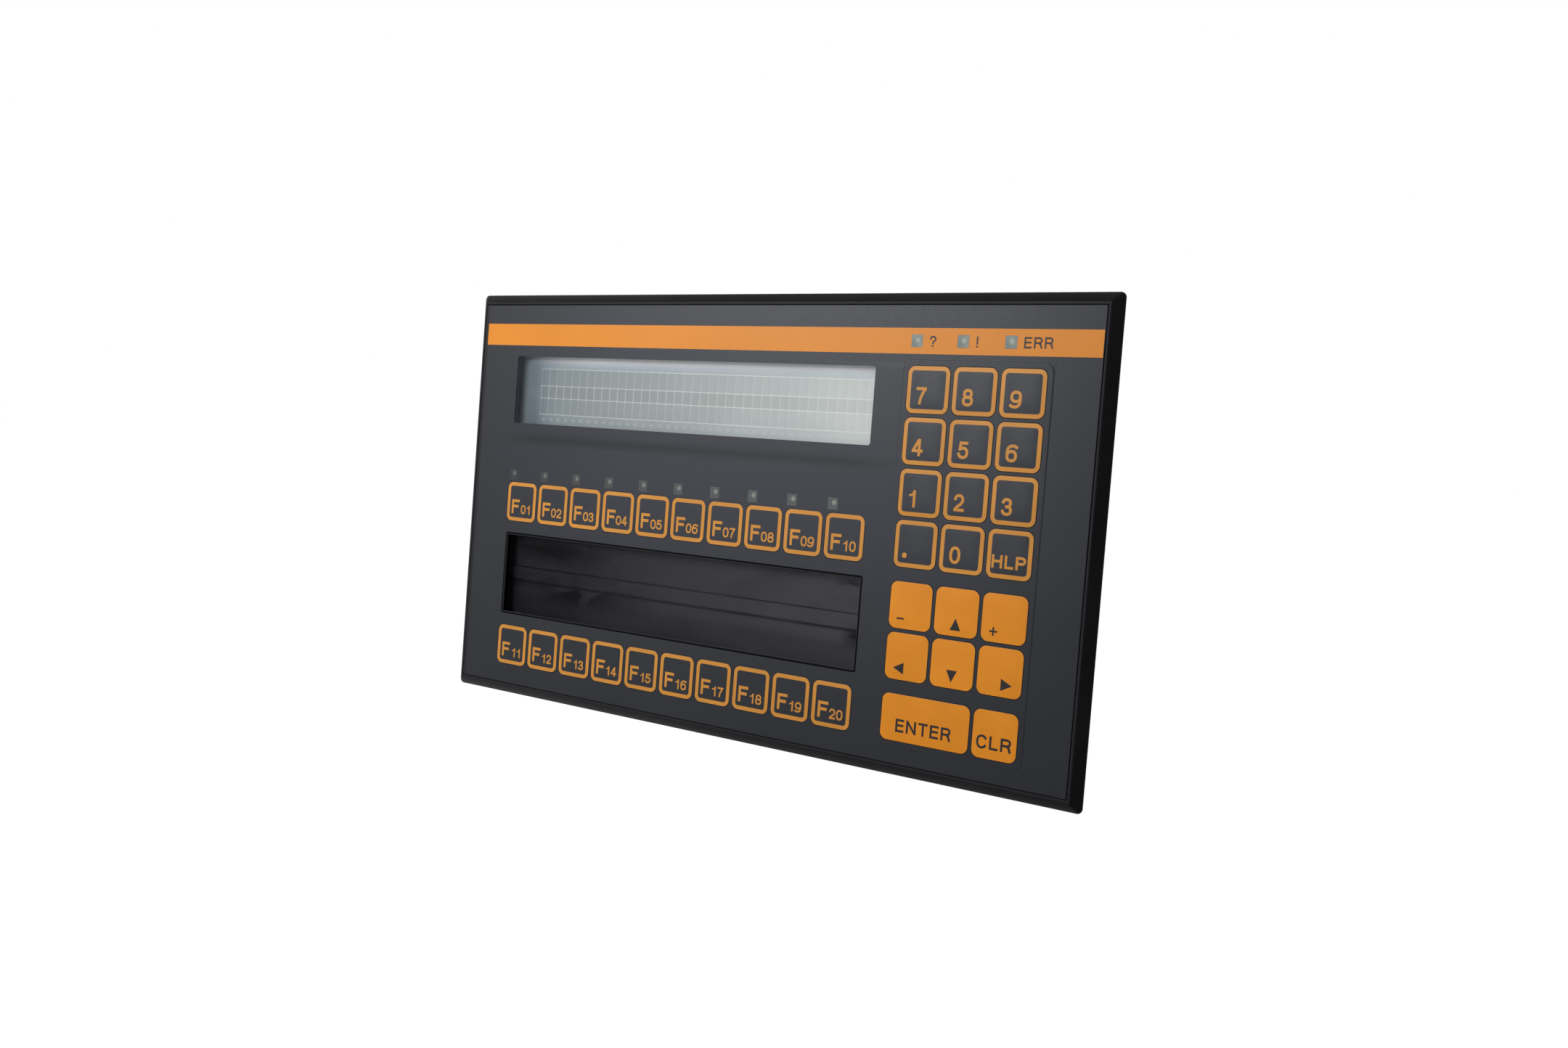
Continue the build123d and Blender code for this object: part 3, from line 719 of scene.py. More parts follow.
# %% [markdown]
# Ink has to follow the slight dome of a raised key. The ribbons start as a flat sheet in front of the cap, a
# Shrinkwrap modifier pushes them back onto it, and a Solidify modifier gives the ink a body that sinks into the
# cap, so that no gap can show from the side.

# %% Lay ink on a surface
def lay_ink(name, strokes, finish, target):
    """A thin coat of ink with the shape of the strokes, pressed onto the target's front."""
    corners, faces, rises = [], [], []
    for level, closed, rows in strokes:
        first, across = len(corners), len(rows[0])
        for row in rows:
            corners += [(point.x * mm, -4.0 * mm, point.y * mm) for point in row]
            rises += [(0.012 + 0.004 * level) * mm] * across
        for k in range(len(rows) if closed else len(rows) - 1):
            for j in range(across - 1):
                a, b = first + across * k + j, first + across * ((k + 1) % len(rows)) + j
                faces.append((a + 1, b + 1, b, a))
    shape = bpy.data.meshes.new(name)
    shape.from_pydata(corners, [], faces)
    piece = bpy.data.objects.new(name, shape)
    bpy.context.scene.collection.objects.link(piece)
    only(piece)
    wrap = piece.modifiers.new("press", "SHRINKWRAP")
    wrap.target, wrap.wrap_method = target, "PROJECT"
    wrap.use_project_y, wrap.use_positive_direction, wrap.use_negative_direction = True, True, False
    bpy.ops.object.modifier_apply(modifier="press")
    for vert, rise in zip(piece.data.vertices, rises):
        vert.co.y -= rise
    body = piece.modifiers.new("body", "SOLIDIFY")
    body.thickness, body.offset = 0.05 * mm, -1.0
    bpy.ops.object.modifier_apply(modifier="body")
    if min(vert.co.y for vert in piece.data.vertices) < -3.4 * mm:
        print("ink stands off", name)
    coat(piece, finish)
    return piece


def fitted(text, left, bottom, height, pen, width, gap=0.18):
    """A word set so that it is exactly so wide."""
    gaps = (len(text) - 1) * gap * height
    natural = sum(signs[sign][0] for sign in text) * height
    return write(text, left, bottom, height, pen, gap, (width - gaps) / natural)[0]


def triangle(centre_x, centre_z, size, turn):
    """An arrow head as rows that narrow, pointing up and then turned by quarter turns."""
    rows = []
    for k in range(9):
        half, rise = max(0.01, (1 - k / 8) / 2), k / 8 - 0.5
        points = [(half * share, rise) for share in (-1, -0.5, 0, 0.5, 1)]
        for _ in range(turn):
            points = [(-z, x) for x, z in points]
        rows.append([Vector((centre_x + x * size, centre_z + z * size)) for x, z in points])
    return [(0, False, rows)]


def dot(centre_x, centre_z, size):
    """A round dot as rows that widen and narrow."""
    rows = []
    for step in range(-8, 9):
        angle = step * pi / 16.5
        rows.append([Vector((centre_x + share * cos(angle) * size / 2, centre_z + sin(angle) * size / 2))
                     for share in (-1, -0.33, 0.33, 1)])
    return [(0, False, rows)]


print("ink tools ready")

# %% [markdown]
# ## Dress and place every key
# The wording sits low on each key: a number has one large sign, a function key a large F with two small digits on
# the same line, and the orange keys carry words, signs or arrows in dark ink.

# %% What is written on each key
def function_wording(number):
    """A large F and two small digits that end at the same place on every key."""
    digits = f"{number:02d}"
    drawn, _ = write("F", -4.6, -4.25, 5.0, 0.92)
    right = 4.4 - 0.2 * (digits[1] == "1")
    for place_from_right in (1, 0):
        sign = digits[place_from_right]
        width = signs[sign][0] * 3.2 * 1.04
        new, _ = sign_strokes(sign, right - width, -4.22, 3.2, 0.54, 1.04)
        drawn += new
        right -= width + 0.25 + 0.45 * (digits[0] == "1") + 0.2 * (digits[1] == "1")
    return drawn


wording = {
    "key_point": dot(-3.35, -3.4, 1.6),
    "key_help": fitted("HLP", -5.3, -4.05, 3.75, 0.74, 10.5),
    "key_minus": write("-", -4.3, -5.2, 2.5, 0.5, stretch=1.67)[0],
    "key_plus": write("+", -4.3, -5.15, 2.5, 0.5)[0],
    "key_up": triangle(0.0, -3.5, 3.45, 0),
    "key_down": triangle(0.0, -3.4, 3.45, 2),
    "key_left": triangle(-2.4, -3.45, 3.45, 1),
    "key_right": triangle(2.3, -3.45, 3.45, 3),
    "key_enter": fitted("ENTER", -9.3, -4.15, 3.85, 0.66, 18.1, 0.2),
    "key_clear": fitted("CLR", -5.5, -4.15, 3.85, 0.68, 10.8, 0.2),
}
for digit in "0123456789":
    wording[f"key_{digit}"] = write(digit, -3.5 if digit == "1" else -3.7, -4.25, 5.0, 0.86)[0]
for number in range(1, 21):
    wording[f"key_f{number:02d}"] = function_wording(number)
print("keys with wording", len(wording))

# %% Copy the caps, print them and put them in place
def dressed_key(name, pattern, finish):
    """One key: a copy of its cap with its own ink, moved to its place."""
    only(pattern)
    bpy.ops.object.duplicate(linked=False)
    body = bpy.context.object
    ink_coat = lay_ink("ink", wording[name], finish, pattern)
    piece = join("cap_" + name[4:], [body, ink_coat])
    x, z = middle(name)
    bpy.ops.transform.translate(value=(x * mm, 0, z * mm))
    bpy.ops.object.transform_apply(location=True, rotation=False, scale=False)
    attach(piece, name)
    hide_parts(name)
    return piece


kinds = [(function_keys, flat_cap, frame_ochre), (number_keys, number_cap, frame_ochre),
         (colour_keys, colour_cap, dark_ink), ([wide_key], wide_cap, dark_ink)]
for names, pattern, finish in kinds:
    for name in names:
        key = dressed_key(name, pattern, finish)
    print(pattern.name, "x", len(names), "last has", len(key.data.polygons), "faces")
for _, pattern, _ in kinds:
    bpy.data.objects.remove(pattern)

# %% [markdown]
# ## Words on the band
# The three status lights are marked with a question mark, an exclamation mark and the letters ERR, in dark ink on
# the orange.

# %% Print the status marks
mark_bottom, mark_height, mark_pen = 55.1, 3.15, 0.5
status_marks = fitted("?", 64.55, mark_bottom, mark_height, mark_pen, 2.2)
status_marks += write("!", 79.65, mark_bottom, mark_height, mark_pen)[0]
status_marks += fitted("ERR", 94.4, mark_bottom, mark_height, mark_pen, 8.7, 0.22)
status_ink = lay_ink("status_words", status_marks, dark_ink, foil)
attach(status_ink, "panel")
print("status words", len(status_ink.data.polygons), "faces")

# %% [markdown]
# ## Window films
# Where the foil has no print, it is a window. The display window is clear and hardly milky, the label window is
# clear with a faint uneven veil of painted reflection towards the right and a line of painted shade round its edge,
# and the small light windows are smoked, so that an unlit lamp hardly shows. All of them let light through by their
# Alpha.

# %% Film finishes
# clear hard-coated polyester over the display, hardly milky
display_film_finish = material("clear_display_film", "7E8894", 0.4, specular=0.2)
haze = noise(display_film_finish, {"Scale": 45.0, "Detail": 3.0})
link(spread(haze, 0.3, 0.7, 0.03, 0.06), shader_of(display_film_finish).inputs["Alpha"])
# clear polyester over the label pocket, with a faint wavy veil of painted reflection towards the right and a line of
# painted shade round its edge
label_film_finish = material("clear_label_film", "55565B", 0.4, specular=0.03)
wave = noise(label_film_finish, {"Scale": 24.0, "Detail": 1.0, "Distortion": 0.6}, (0.5, 1, 2.2))
painted_reflection_veil = total([spread(axis(label_film_finish, "X"), -0.1, 0.04, 0.0, 0.12), spread(wave, 0.40, 0.52, 0.3, 1.0)],
             "MULTIPLY")
edge_shade_line = spread(edge_distance(label_film_finish, label_x, label_z, label_width, label_height),
                   0.0005, 0.0009, 1.0, 0.0)
shade_on(label_film_finish, [edge_shade_line], "020203")
link(total([painted_reflection_veil, edge_shade_line], "MAXIMUM"), shader_of(label_film_finish).inputs["Alpha"])
# smoked window of a function light with a soft pale dot; painted light makes the window and its dot paler towards
# the right of the row
light_x = function_lights[0][0]
smoked_finish = material("smoked_light_film", "25262B", 0.45, specular=0.3)
add_grain(smoked_finish, 0.3, 0.003, gloss=0.05, drift=0.1, patch=3)
shade_on(smoked_finish, [spread(axis(smoked_finish, "X"), -0.1, 0.0)], "434647")
shade_on(smoked_finish, [near_grid(smoked_finish, light_x + 0.45, light_row + 0.4, 1.0),
                         spread(axis(smoked_finish, "X"), -0.1, 0.03, 0.3, 0.7)], "93978C")
# pale window of a status light, with a paler dot in the middle and a darker corner
status_finish = material("pale_light_film", "727B78", 0.45, specular=0.3)
add_grain(status_finish, 0.3, 0.004, gloss=0.05, drift=0.12, patch=2)
status_x, status_z = status_lights[0]
shade_on(status_finish, [near_grid(status_finish, status_x - 1.1, status_z - 0.9, 1.9), 0.5], "59635F")
shade_on(status_finish, [near_grid(status_finish, status_x + 0.2, status_z + 0.2, 1.0), 0.38], "C4C8B2")
for finish in (smoked_finish, status_finish):
    shader_of(finish).inputs["Alpha"].default_value = 0.96
print("film finishes ready")

# %% Fit the films into the foil
def film(name, width, height, x, z, finish, corner, thickness=0.22):
    front = foil_front + 0.02
    piece = plate(name, width - 0.04, height - 0.04, x, z, front, front + thickness, corner, 4)
    pick(piece, "FACE", looks_forward)
    inset(0.08, 0.015)
    done(piece)
    coat(piece, finish)
    return piece


display_film = film("display_film", display_width, display_height, display_x, display_z, display_film_finish, 0.8)
label_film = film("label_film", label_width, label_height, label_x, label_z, label_film_finish, 0.8)
smoked = join("function_light_films", [film("film", light_size, light_size, x, z, smoked_finish, 0.15)
                                       for x, z in function_lights])
pale = join("status_light_films", [film("film", light_size, light_size, x, z, status_finish, 0.15)
                                   for x, z in status_lights])
for piece in (display_film, label_film, smoked, pale):
    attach(piece, "panel")
    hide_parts("foil_windows")
print("films", [p.name for p in (display_film, label_film, smoked, pale)])

# %% [markdown]
# ## Lamps behind the small windows
# Each lamp is a flat surface-mounted chip: a white body with a yellowish lens in front. One is modelled and
# copied to all thirteen places.

# %% Light chips
# white chip body and yellow lens
chip_body = material("white_chip_body", "D9DAD2", 0.4, specular=0.4)
add_grain(chip_body, 0.15, 0.003, drift=0.05, patch=2)
chip_lens = material("yellow_chip_lens", "D8D48C", 0.2, specular=0.5)
add_grain(chip_lens, 0.2, 0.002, drift=0.05, patch=2)
chips = []
for x, z in function_lights + status_lights:
    chip = plate("chip", 2.0, 1.25, x, z, -2.12, -1.8, 0.1, 2)
    coat(chip, chip_body, chip_lens)
    pick(chip, "FACE", looks_forward)
    inset(0.22)
    paint(chip, 1)
    inset(0.08, 0.1)
    inset(0.15, 0.07)
    chips.append(done(chip))
lamps = join("light_chips", chips)
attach(lamps, "panel")
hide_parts("indicator_leds")
print("chips", len(chips))

# %% [markdown]
# ## The display
# Under the clear film sits a liquid crystal display. Switched off, it is silver grey, and only thin lines of its
# grid show: three rows of cells with thin lines between them, and a row of dots below. The glass itself is a
# plate with ground edges. The grid is a pattern in its material, laid out by Object coordinates: pulses along X
# mark the columns, pulses along Z the lines.

# %% Display glass and its grid
glass_low, glass_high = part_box("lcd_glass")
glass_width, glass_height = (glass_high.x - glass_low.x) / mm, (glass_high.z - glass_low.z) / mm
glass = plate("display_glass", glass_width, glass_height, display_x, display_z, glass_low.y / mm, glass_high.y / mm,
              0.3, 2)
pick(glass, "EDGE", lambda edge: abs(edge.verts[0].co.y - edge.verts[1].co.y) < 1e-6)
bevel(0.25)
done(glass)

# silver-grey display glass; painted shade darkens its left end beside the window's wall, and painted light makes it
# paler to the right
display_finish = material("silver_display_glass", "A5ADAE", 0.4, specular=0.15)
across, up = axis(display_finish, "X"), axis(display_finish, "Z")
cell_pitch, first_cell, half_cell = 3.544, -98.7, 0.5 / mm
line_heights = (45.15, 39.2, 34.86, 29.2)
within = alone(total([total([across, first_cell * mm], "SUBTRACT"), cell_pitch * mm], "DIVIDE"), "FRACT")
column_gap = spread(pulse(within, half_cell, half_cell), 0.0, 0.12, 1.0, 0.0)
line_gaps = total([pulse(up, z, 0.2) for z in line_heights])
in_grid = spread(across, -0.0925, -0.0915)
in_lines = total([spread(pulse(up, 37.2, 8.2), 0.0, 0.04), in_grid], "MULTIPLY")
middle_line = spread(pulse(up, 37.0, 2.2), 0.0, 0.1)
dot_row = total([pulse(up, 27.4, 0.75), spread(pulse(within, half_cell, 0.8 * half_cell), 0.2, 0.9)], "MULTIPLY")
# painted shade and light: the tone runs from dark beside the left wall to pale at the right end
tone = add(display_finish, "ValToRGB")
first_tone, last_tone = tone.color_ramp.elements
first_tone.position, first_tone.color = 0.0, linear("5A6367")
last_tone.position, last_tone.color = 1.0, linear("CDD2CF")
for position, code in ((0.045, "4F5860"), (0.075, "6C757C"), (0.12, "7C8486"), (0.45, "989F9F"), (0.75, "B3B9B8")):
    tone.color_ramp.elements.new(position).color = linear(code)
link(spread(across, -0.1008, 0.0472), tone.inputs[0])
link(tone.outputs[0], shader_of(display_finish).inputs["Base Color"])
shade_on(display_finish, [in_lines, spread(within, 0.0, 1.0, 0.03, 0.12)], "6D7672")
shade_on(display_finish, [middle_line, 0.12], "77776F")
# painted light, kept away from the left wall: paler and bluish outside the grid's lines and towards the top, and
# white along the top edge against the shadow of the window's edge
from_wall = spread(across, -0.099, -0.07)
shade_on(display_finish, [total([1.0, in_lines], "SUBTRACT"), spread(up, 0.027, 0.036, 0.15, 1.0), from_wall, 0.4],
         "A4B0BC")
shade_on(display_finish, [pulse(up, 49.5, 3.6), from_wall, 0.8], "D8DEE8")
top_edge = (display_z + display_height / 2) * mm
shade_on(display_finish, [spread(up, top_edge - 0.0022, top_edge), from_wall], "FFFFFF")
gaps = [total([column_gap, in_lines, spread(middle_line, 0.0, 1.0, 0.24, 0.5)], "MULTIPLY"),
        total([line_gaps, in_grid, spread(across, -0.09, 0.03, 0.45, 0.95)], "MULTIPLY"),
        total([dot_row, in_grid, 0.22], "MULTIPLY")]
shade_on(display_finish, [total(gaps)], "DDE2D8")
link(spread(noise(display_finish, {"Scale": 60.0, "Detail": 3.0}), 0.3, 0.7, 0.26, 0.4),
     shader_of(display_finish).inputs["Roughness"])
coat(glass, display_finish)
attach(glass, "panel")
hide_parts("lcd_glass")
print("display glass", round(glass_width, 1), "x", round(glass_height, 1))

# %% [markdown]
# ## The label pocket
# Behind the label window lies the tray that a paper strip would slide over. It is empty here, so its black floor
# shows: two channels with a land between them, drawn lengthwise with fine lines. Its solid is right as it is and
# only needs its finish. The lines are a noise stretched many times along X.

# %% Finish of the tray
# black moulding with fine lengthwise lines; painted light makes it paler to the right, it is darker in the lower
# channel, four soft patches of painted dark reflection lie on it, and painted shadow lines run along the edges of
# the land and below the window's top edge
tray_finish = material("black_lined_tray", "1B1B1F", 0.5, specular=0.04)
add_grain(tray_finish, 0.5, 0.001, gloss=0.06, drift=0.12, patch=60, stretch=(0.02, 1, 1))
shade_on(tray_finish, [spread(axis(tray_finish, "X"), -0.07, 0.045)], "404043")
shade_on(tray_finish, [spread(axis(tray_finish, "Z"), -0.033, -0.036, 0.0, 0.4)], "0C0C0E")
# painted dark reflections in four soft patches
uneven = noise(tray_finish, {"Scale": 70.0, "Detail": 2.0, "Distortion": 0.8}, (0.5, 1, 1.2))
dark_reflection_mask = spread(uneven, 0.42, 0.49, 0.0, 1.4)
for x, z, half_x, half_z in ((-80, -18.5, 30, 6.0), (-72, -32.0, 40, 6.5), (46, -32.5, 7, 4.5), (42, -16.5, 6, 2.5)):
    shade_on(tray_finish, [dark_reflection_mask, pulse(axis(tray_finish, "X"), x, half_x),
                           pulse(axis(tray_finish, "Z"), z, half_z)], "020204")
# painted shadow lines along the edges of the land and below the window's top edge
for z, width, depth in ((-25.5, 0.4, 0.85), (-30.6, 0.8, 0.9), (-13.9, 0.8, 0.8)):
    shade_on(tray_finish, [pulse(axis(tray_finish, "Z"), z, width), depth], "020203")
print("tray finish ready")

# %% [markdown]
# ## Finishes behind the front
# The rest of the assembly is hidden in use but seen when the terminal is taken out of its cabinet. The housing is
# galvanised sheet with its crystal pattern, studs and screws are zinc plated, the gasket is black foam, and the
# boards carry green solder mask with tracks under it. Each finish is a pattern in real millimetres again.

# %% Metals
# galvanised steel sheet with its spangle
galvanised = material("galvanised_sheet", "A9ADB0", 0.38, metallic=0.9)
spangle = add(galvanised, "TexVoronoi", {"Scale": 1000 / 5.0})
spangle.feature = "F1"
link(place(galvanised), spangle.inputs["Vector"])
link(spread(spangle.outputs["Color"], 0.0, 1.0, 0.32, 0.46), shader_of(galvanised).inputs["Roughness"])
tint = blend_colours(spread(spangle.outputs["Color"], 0.1, 0.9), linear("9DA1A5"), linear("B2B6B9"))
link(tint, shader_of(galvanised).inputs["Base Color"])


def scratched(name, code, roughness, grain):
    """Plated metal with a fine brushed grain."""
    finish = material(name, code, roughness, metallic=1.0)
    return add_grain(finish, grain, 0.002, gloss=0.08, drift=0.08, patch=6, stretch=(1, 0.2, 1))


# zinc plated steel of studs, pillars and screws
zinc = scratched("zinc_plated_steel", "B4B7B4", 0.3, 0.2)
# tin plated shell of the data socket
tin = scratched("tin_plated_shell", "C2C1BB", 0.25, 0.3)
# stainless spring steel of the snap domes
spring_steel = scratched("stainless_spring_steel", "B9B8B4", 0.22, 0.15)
# black painted sheet of the display frame
black_sheet = material("black_painted_sheet", "1B1B1D", 0.45, specular=0.4)
add_grain(black_sheet, 0.25, 0.004, drift=0.1)
print("metals ready")

# %% Plastics, foam and boards
# black closed-cell foam
foam = material("black_sealing_foam", "1D1D1F", 0.85, specular=0.2)
add_grain(foam, 0.8, 0.12, gloss=0.05, drift=0.25, patch=8)
# dark polyester spacer with adhesive on both sides
spacer_finish = material("dark_spacer_film", "1C1D20", 0.55, specular=0.15)
add_grain(spacer_finish, 0.4, 0.003, drift=0.1)
# polyester circuit foil with silver ink tracks
circuit_finish = material("printed_circuit_foil", "30343A", 0.5, specular=0.15)
add_grain(circuit_finish, 0.4, 0.002, drift=0.08)
# green polyamide of the supply terminal
green_plastic = material("green_polyamide", "2F7A45", 0.42, specular=0.4)
add_grain(green_plastic, 0.3, 0.006, drift=0.08, patch=8)
# black glass-filled insulator of the data socket
black_insulator = material("black_insulator", "1B1B1C", 0.5, specular=0.35)
add_grain(black_insulator, 0.25, 0.004, drift=0.15)
# gold plated contacts
gold = scratched("gold_plated_contact", "D2A653", 0.3, 0.1)


def board_material(name, top_depth):
    """Green board with tracks under its mask, and black parts above the given depth."""
    finish = material(name, "1F5A38", 0.35, specular=0.45)
    tracks = add(finish, "TexBrick", {"Scale": 1.0, "Mortar Size": 0.0004, "Brick Width": 0.011,
                                      "Row Height": 0.0027, "Mortar Smooth": 0.1})
    turned = add(finish, "Mapping", {"Rotation": (pi / 2, 0, 0)})
    link(place(finish), turned.inputs["Vector"])
    link(turned.outputs["Vector"], tracks.inputs["Vector"])
    green = blend_colours(tracks.outputs["Fac"], linear("1F5A38"), linear("2F7A4C"))
    is_part = spread(axis(finish, "Y"), (top_depth + 0.02) * mm, (top_depth + 0.06) * mm)
    link(blend_colours(is_part, green, linear("232426")), shader_of(finish).inputs["Base Color"])
    grain = noise(finish, {"Scale": 2500.0, "Detail": 2.0})
    link(spread(grain, 0.3, 0.7, 0.28, 0.45), shader_of(finish).inputs["Roughness"])
    return finish


# green circuit boards with black parts
main_board_finish = board_material("green_main_board", 19.6)
display_board_finish = board_material("green_display_board", 7.6)
for node, finish in {
        "label_tray": tray_finish, "lcd_bezel": black_sheet, "spacer_sheet": spacer_finish,
        "circuit_sheet": circuit_finish, "snap_domes": spring_steel, "lcd_board": display_board_finish,
        "main_board": main_board_finish, "board_pillars": zinc, "cover_pillars": zinc,
        "rear_housing": galvanised, "panel_gasket": foam}.items():
    coat(solids[node], finish)
print("plastics, foam and boards ready")

# %% [markdown]
# ## Threaded studs and cover screws
# A plain rod reads as a pin. A thread is what makes it a stud, so a rod is divided into fine rings and every
# corner is moved in or out by a wave that climbs one pitch per turn. The M3 thread has a pitch of 0.5 mm. The
# crests keep the radius of the solid. The hexagonal foot is the same as the solid's.

# %% Thread one stud and copy it
def rod(name, radius, x, z, front, back, sides):
    """A rod along Y."""
    only(None)
    bpy.ops.mesh.primitive_cylinder_add(vertices=sides, radius=radius * mm, depth=(back - front) * mm,
                                        location=(x * mm, (front + back) / 2 * mm, z * mm),
                                        rotation=(pi / 2, 0, 0))
    piece = bpy.context.object
    piece.name = piece.data.name = name
    bpy.ops.object.transform_apply(location=True, rotation=True, scale=True)
    return piece


def runs_deep(edge):
    return abs(edge.verts[0].co.y - edge.verts[1].co.y) > 1 * mm


_, stud_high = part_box("mounting_studs")
stud_x, stud_z = 117.0, 67.0
thread_pitch, stud_radius, foot_flats = 0.5, 1.5, 5.0
stud = rod("stud", stud_radius, 0, 0, 0.0, stud_high.y / mm, 14)
pick(stud, "EDGE", runs_deep)
bpy.ops.mesh.subdivide(number_cuts=63)
bpy.ops.object.mode_set(mode="OBJECT")
for vert in stud.data.vertices:
    x, y, z = vert.co / mm
    if 0.2 < y < stud_high.y / mm - 0.2 and abs(x) + abs(z) > 0.1:
        turn = Vector((x, z)).angle_signed(Vector((1, 0))) / (2 * pi)
        wave = abs((y / thread_pitch + turn) % 1 * 2 - 1)
        vert.co.x, vert.co.z = vert.co.x * (1 - 0.2 * wave), vert.co.z * (1 - 0.2 * wave)
pick(stud, "FACE", lambda face: face.normal.y > 0.9 and face.calc_center_median().y > stud_high.y - 0.1 * mm)
inset(0.3)
done(stud, 45)
foot = rod("foot", foot_flats / 2 / cos(pi / 6), 0, 0, -1.0, 0.02, 6)
studs = join("threaded_studs", [stud, foot])
coat(studs, zinc)
copies = [studs]
for x in (-stud_x, 0, stud_x):
    for z in (-stud_z, stud_z):
        only(studs)
        bpy.ops.object.duplicate(linked=False)
        bpy.ops.transform.translate(value=(x * mm, 0, z * mm))
        bpy.ops.object.transform_apply(location=True, rotation=False, scale=False)
        copies.append(bpy.context.object)
bpy.data.objects.remove(copies.pop(0))
studs = join("threaded_studs", copies)
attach(studs, "panel")
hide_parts("mounting_studs")
print("studs", len(copies), "faces", len(studs.data.polygons))

# %% [markdown]
# The cover screws keep their hexagonal solids. A real head has a chamfered top, so a copy of the solid is
# merged and its outer edges get a bevel.

# %% Bevel the screw heads
def lies_at(depth):
    return lambda edge: all(abs(vert.co.y / mm - depth) < 0.02 for vert in edge.verts)


head_depth, shell_depth, terminal_depth = 35.0, 37.7, 44.0
softened_copy("cover_screws", "cover_screws_chamfered", zinc, 0.4, lies_at(head_depth), 1)

# %% [markdown]
# ## The data socket and the supply terminal
# The socket's shell surrounds a black insulator with twenty-five contacts in two rows. The solid's shell is
# closed, so its end face is inset to the sheet's thickness and pushed in, and the insulator and its contacts go
# into that recess. The terminal's clamp screws sit in their wells and a metal clamp shows in each wire entry.

# %% Open the socket's shell
socket = softened_copy("data_connector", "socket_shell", tin, 0.25, lies_at(shell_depth))
pick(socket, "FACE", lambda face: face.normal.y > 0.9 and abs(face.calc_center_median().y / mm - shell_depth) < 0.02
     and face.calc_area() > 100 * mm * mm)
inset(0.5)
bpy.ops.mesh.extrude_region_move(TRANSFORM_OT_translate={"value": (0, -5.2 * mm, 0)})
done(socket, 30)
socket_x, socket_z = 30.0, -18.0
insulator_width, insulator_height, insulator_front, insulator_back = 36.2, 5.9, 32.2, 37.3
insulator = plate("socket_insulator", insulator_width, insulator_height, socket_x, socket_z,
                  insulator_front, insulator_back, 1.4, 4)
contact_pitch, contact_rise, hole_radius, contact_radius, hole_floor = 2.76, 1.42, 0.62, 0.5, 36.2
contact_places = [(socket_x + (i - (count - 1) / 2) * contact_pitch, socket_z + rise)
                  for count, rise in ((13, contact_rise), (12, -contact_rise)) for i in range(count)]
holes = [rod("hole", hole_radius, x, z, hole_floor, 37.6, 10) for x, z in contact_places]
combine(insulator, join("holes", holes), "DIFFERENCE")
pick(insulator, "VERT", lambda vert: vert.co.z < (socket_z - 2.5) * mm)
bpy.ops.transform.resize(value=(0.96, 1, 1), center_override=(socket_x * mm, 0, socket_z * mm))
done(insulator, 30)
coat(insulator, black_insulator)
contacts = []
for x, z in contact_places:
    contact = rod("contact", contact_radius, x, z, hole_floor + 0.05, 36.7, 10)
    pick(contact, "FACE", lambda face: face.normal.y > 0.9)
    inset(0.15)
    inset(0.05, -0.2)
    contacts.append(done(contact))
contacts = join("socket_contacts", contacts)
coat(contacts, gold)
for piece in (insulator, contacts):
    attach(piece, "panel")
print("contacts", len(contact_places))

# %% Terminal block with its screws and clamps
softened_copy("power_terminal", "terminal_body", green_plastic, 0.25,
              lies_at(terminal_depth))
terminal_x, terminal_z, way_pitch = -50.0, -18.0, 5.08
well_depth, clamp_front, clamp_back = 38.5, 37.6, 42.6
slotted, clamps = [], []
for way in (-1, 0, 1):
    x = terminal_x + way * way_pitch
    only(None)
    bpy.ops.mesh.primitive_cylinder_add(vertices=20, radius=1.55 * mm, depth=0.9 * mm,
                                        location=(x * mm, well_depth * mm, (terminal_z + 5.5 - 1.2 + 0.4) * mm))
    head = bpy.context.object
    bpy.ops.object.transform_apply(location=True, rotation=True, scale=True)
    pick(head, "FACE", lambda face: face.normal.z > 0.9)
    inset(0.15, 0.08)
    done(head)
    only(None)
    bpy.ops.mesh.primitive_cube_add(size=1, location=(x * mm, well_depth * mm, (terminal_z + 5.1) * mm))
    slot_tool = bpy.context.object
    slot_tool.scale = (4 * mm, 0.5 * mm, 0.8 * mm)
    bpy.ops.object.transform_apply(location=True, rotation=True, scale=True)
    slotted.append(combine(head, slot_tool, "DIFFERENCE"))
    clamp = plate("clamp", 3.0, 1.0, x, terminal_z - 1.5 + 0.9, clamp_front, clamp_back, 0.2, 2)
    pick(clamp, "EDGE", lambda edge: all(vert.co.y > (clamp_back - 0.1) * mm for vert in edge.verts))
    bevel(0.3)
    clamps.append(done(clamp))
metal = join("terminal_screws", [done(head) for head in slotted] + clamps)
coat(metal, zinc)
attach(metal, "panel")
print("terminal screws and clamps", len(metal.data.polygons), "faces")

# %% [markdown]
# ## Floor, light and camera
# The terminal stands on a pale floor in front of white. What the camera sees of floor and sky is white by itself,
# so no lamp has to be bright: the lamp and the sky light the terminal just enough that a colour shows as it is
# written. The lamp is a large soft one at the upper left.

# %% White surroundings that light softly
def seen_directly(finish):
    """1 for rays from the camera, for reflected ones and for those that clear film passes on."""
    path = add(finish, "LightPath")
    rays = [path.outputs["Is Camera Ray"], path.outputs["Is Glossy Ray"], path.outputs["Is Transmission Ray"]]
    return total(rays, "MAXIMUM")


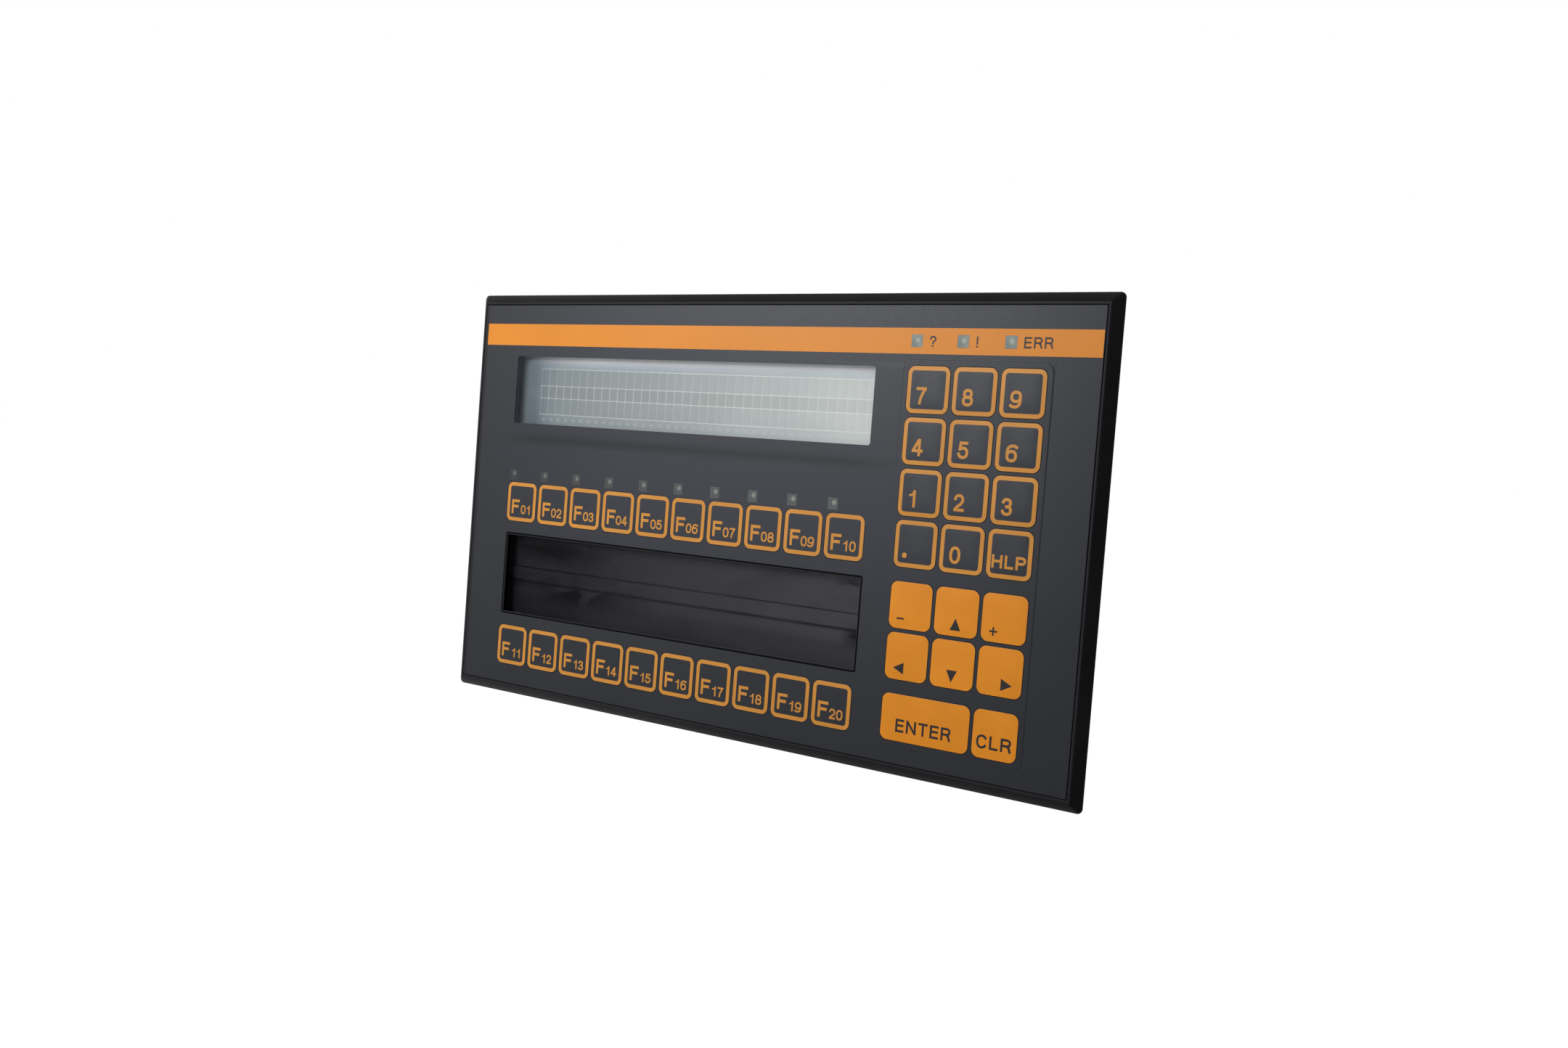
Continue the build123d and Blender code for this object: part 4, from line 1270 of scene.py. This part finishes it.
world = bpy.data.worlds.new("white_studio")
bpy.context.scene.world = world
world.use_nodes = True
sky = world.node_tree.nodes["Background"]
sky.inputs["Color"].default_value = (1, 1, 1, 1)
link(spread(seen_directly(world), 0.0, 1.0, 0.34, 1.0), sky.inputs["Strength"])

# pale floor: white to the eye, with a soft shadow
floor_finish = material("pale_floor", "C8C8C8", 0.9, specular=0.0)
shadow_part = add(floor_finish, "BsdfDiffuse", {"Color": (0.14, 0.14, 0.14, 1)})
glow = add(floor_finish, "Emission", {"Color": (1, 1, 1, 1), "Strength": 0.97})
both = add(floor_finish, "AddShader")
link(shadow_part.outputs[0], both.inputs[0])
link(glow.outputs[0], both.inputs[1])
choose = add(floor_finish, "MixShader")
link(seen_directly(floor_finish), choose.inputs[0])
link(shader_of(floor_finish).outputs[0], choose.inputs[1])
link(both.outputs[0], choose.inputs[2])
link(choose.outputs[0], floor_finish.node_tree.nodes["Material Output"].inputs["Surface"])
only(None)
bpy.ops.mesh.primitive_plane_add(size=8, location=(0, 0, cad_box[0][2] - 0.0001))
floor = bpy.context.object
floor.name = "floor"
coat(floor, floor_finish)
print("floor at", round(floor.location.z, 4))

# %% Lamp and camera
only(None)
lamp_place, lamp_aim = Vector((-0.27, -0.49, 0.24)), Vector((0.0, 0.0, 0.0))
bpy.ops.object.light_add(type="AREA", location=lamp_place)
lamp = bpy.context.object
lamp.name = "soft_lamp"
lamp.data.shape, lamp.data.size, lamp.data.energy = "SQUARE", 0.3, 3.3
lamp.rotation_euler = (lamp_aim - lamp_place).to_track_quat("-Z", "Y").to_euler()
camera_place, camera_turn = (0.26496246, -0.36495605, 0.01779175), (87.60694, -4.37101, 34.42932)
bpy.ops.object.camera_add(location=camera_place, rotation=[radians(angle) for angle in camera_turn])
camera = bpy.context.object
camera.name = "view_camera"
camera.data.lens, camera.data.sensor_width, camera.data.clip_start = 32.5115, 36.0, 0.01
bpy.context.scene.camera = camera
bpy.context.scene.view_settings.view_transform = "Standard"
print("camera at", [round(v, 4) for v in camera.location])

# %% [markdown]
# ## The solids' box
# The box of the solids is printed once more; dressing must not change the terminal's size.

# %% Print the box of the solids
bpy.context.view_layer.update()
print("solids", [[round(v / mm, 2) for v in corner] for corner in cad_box])
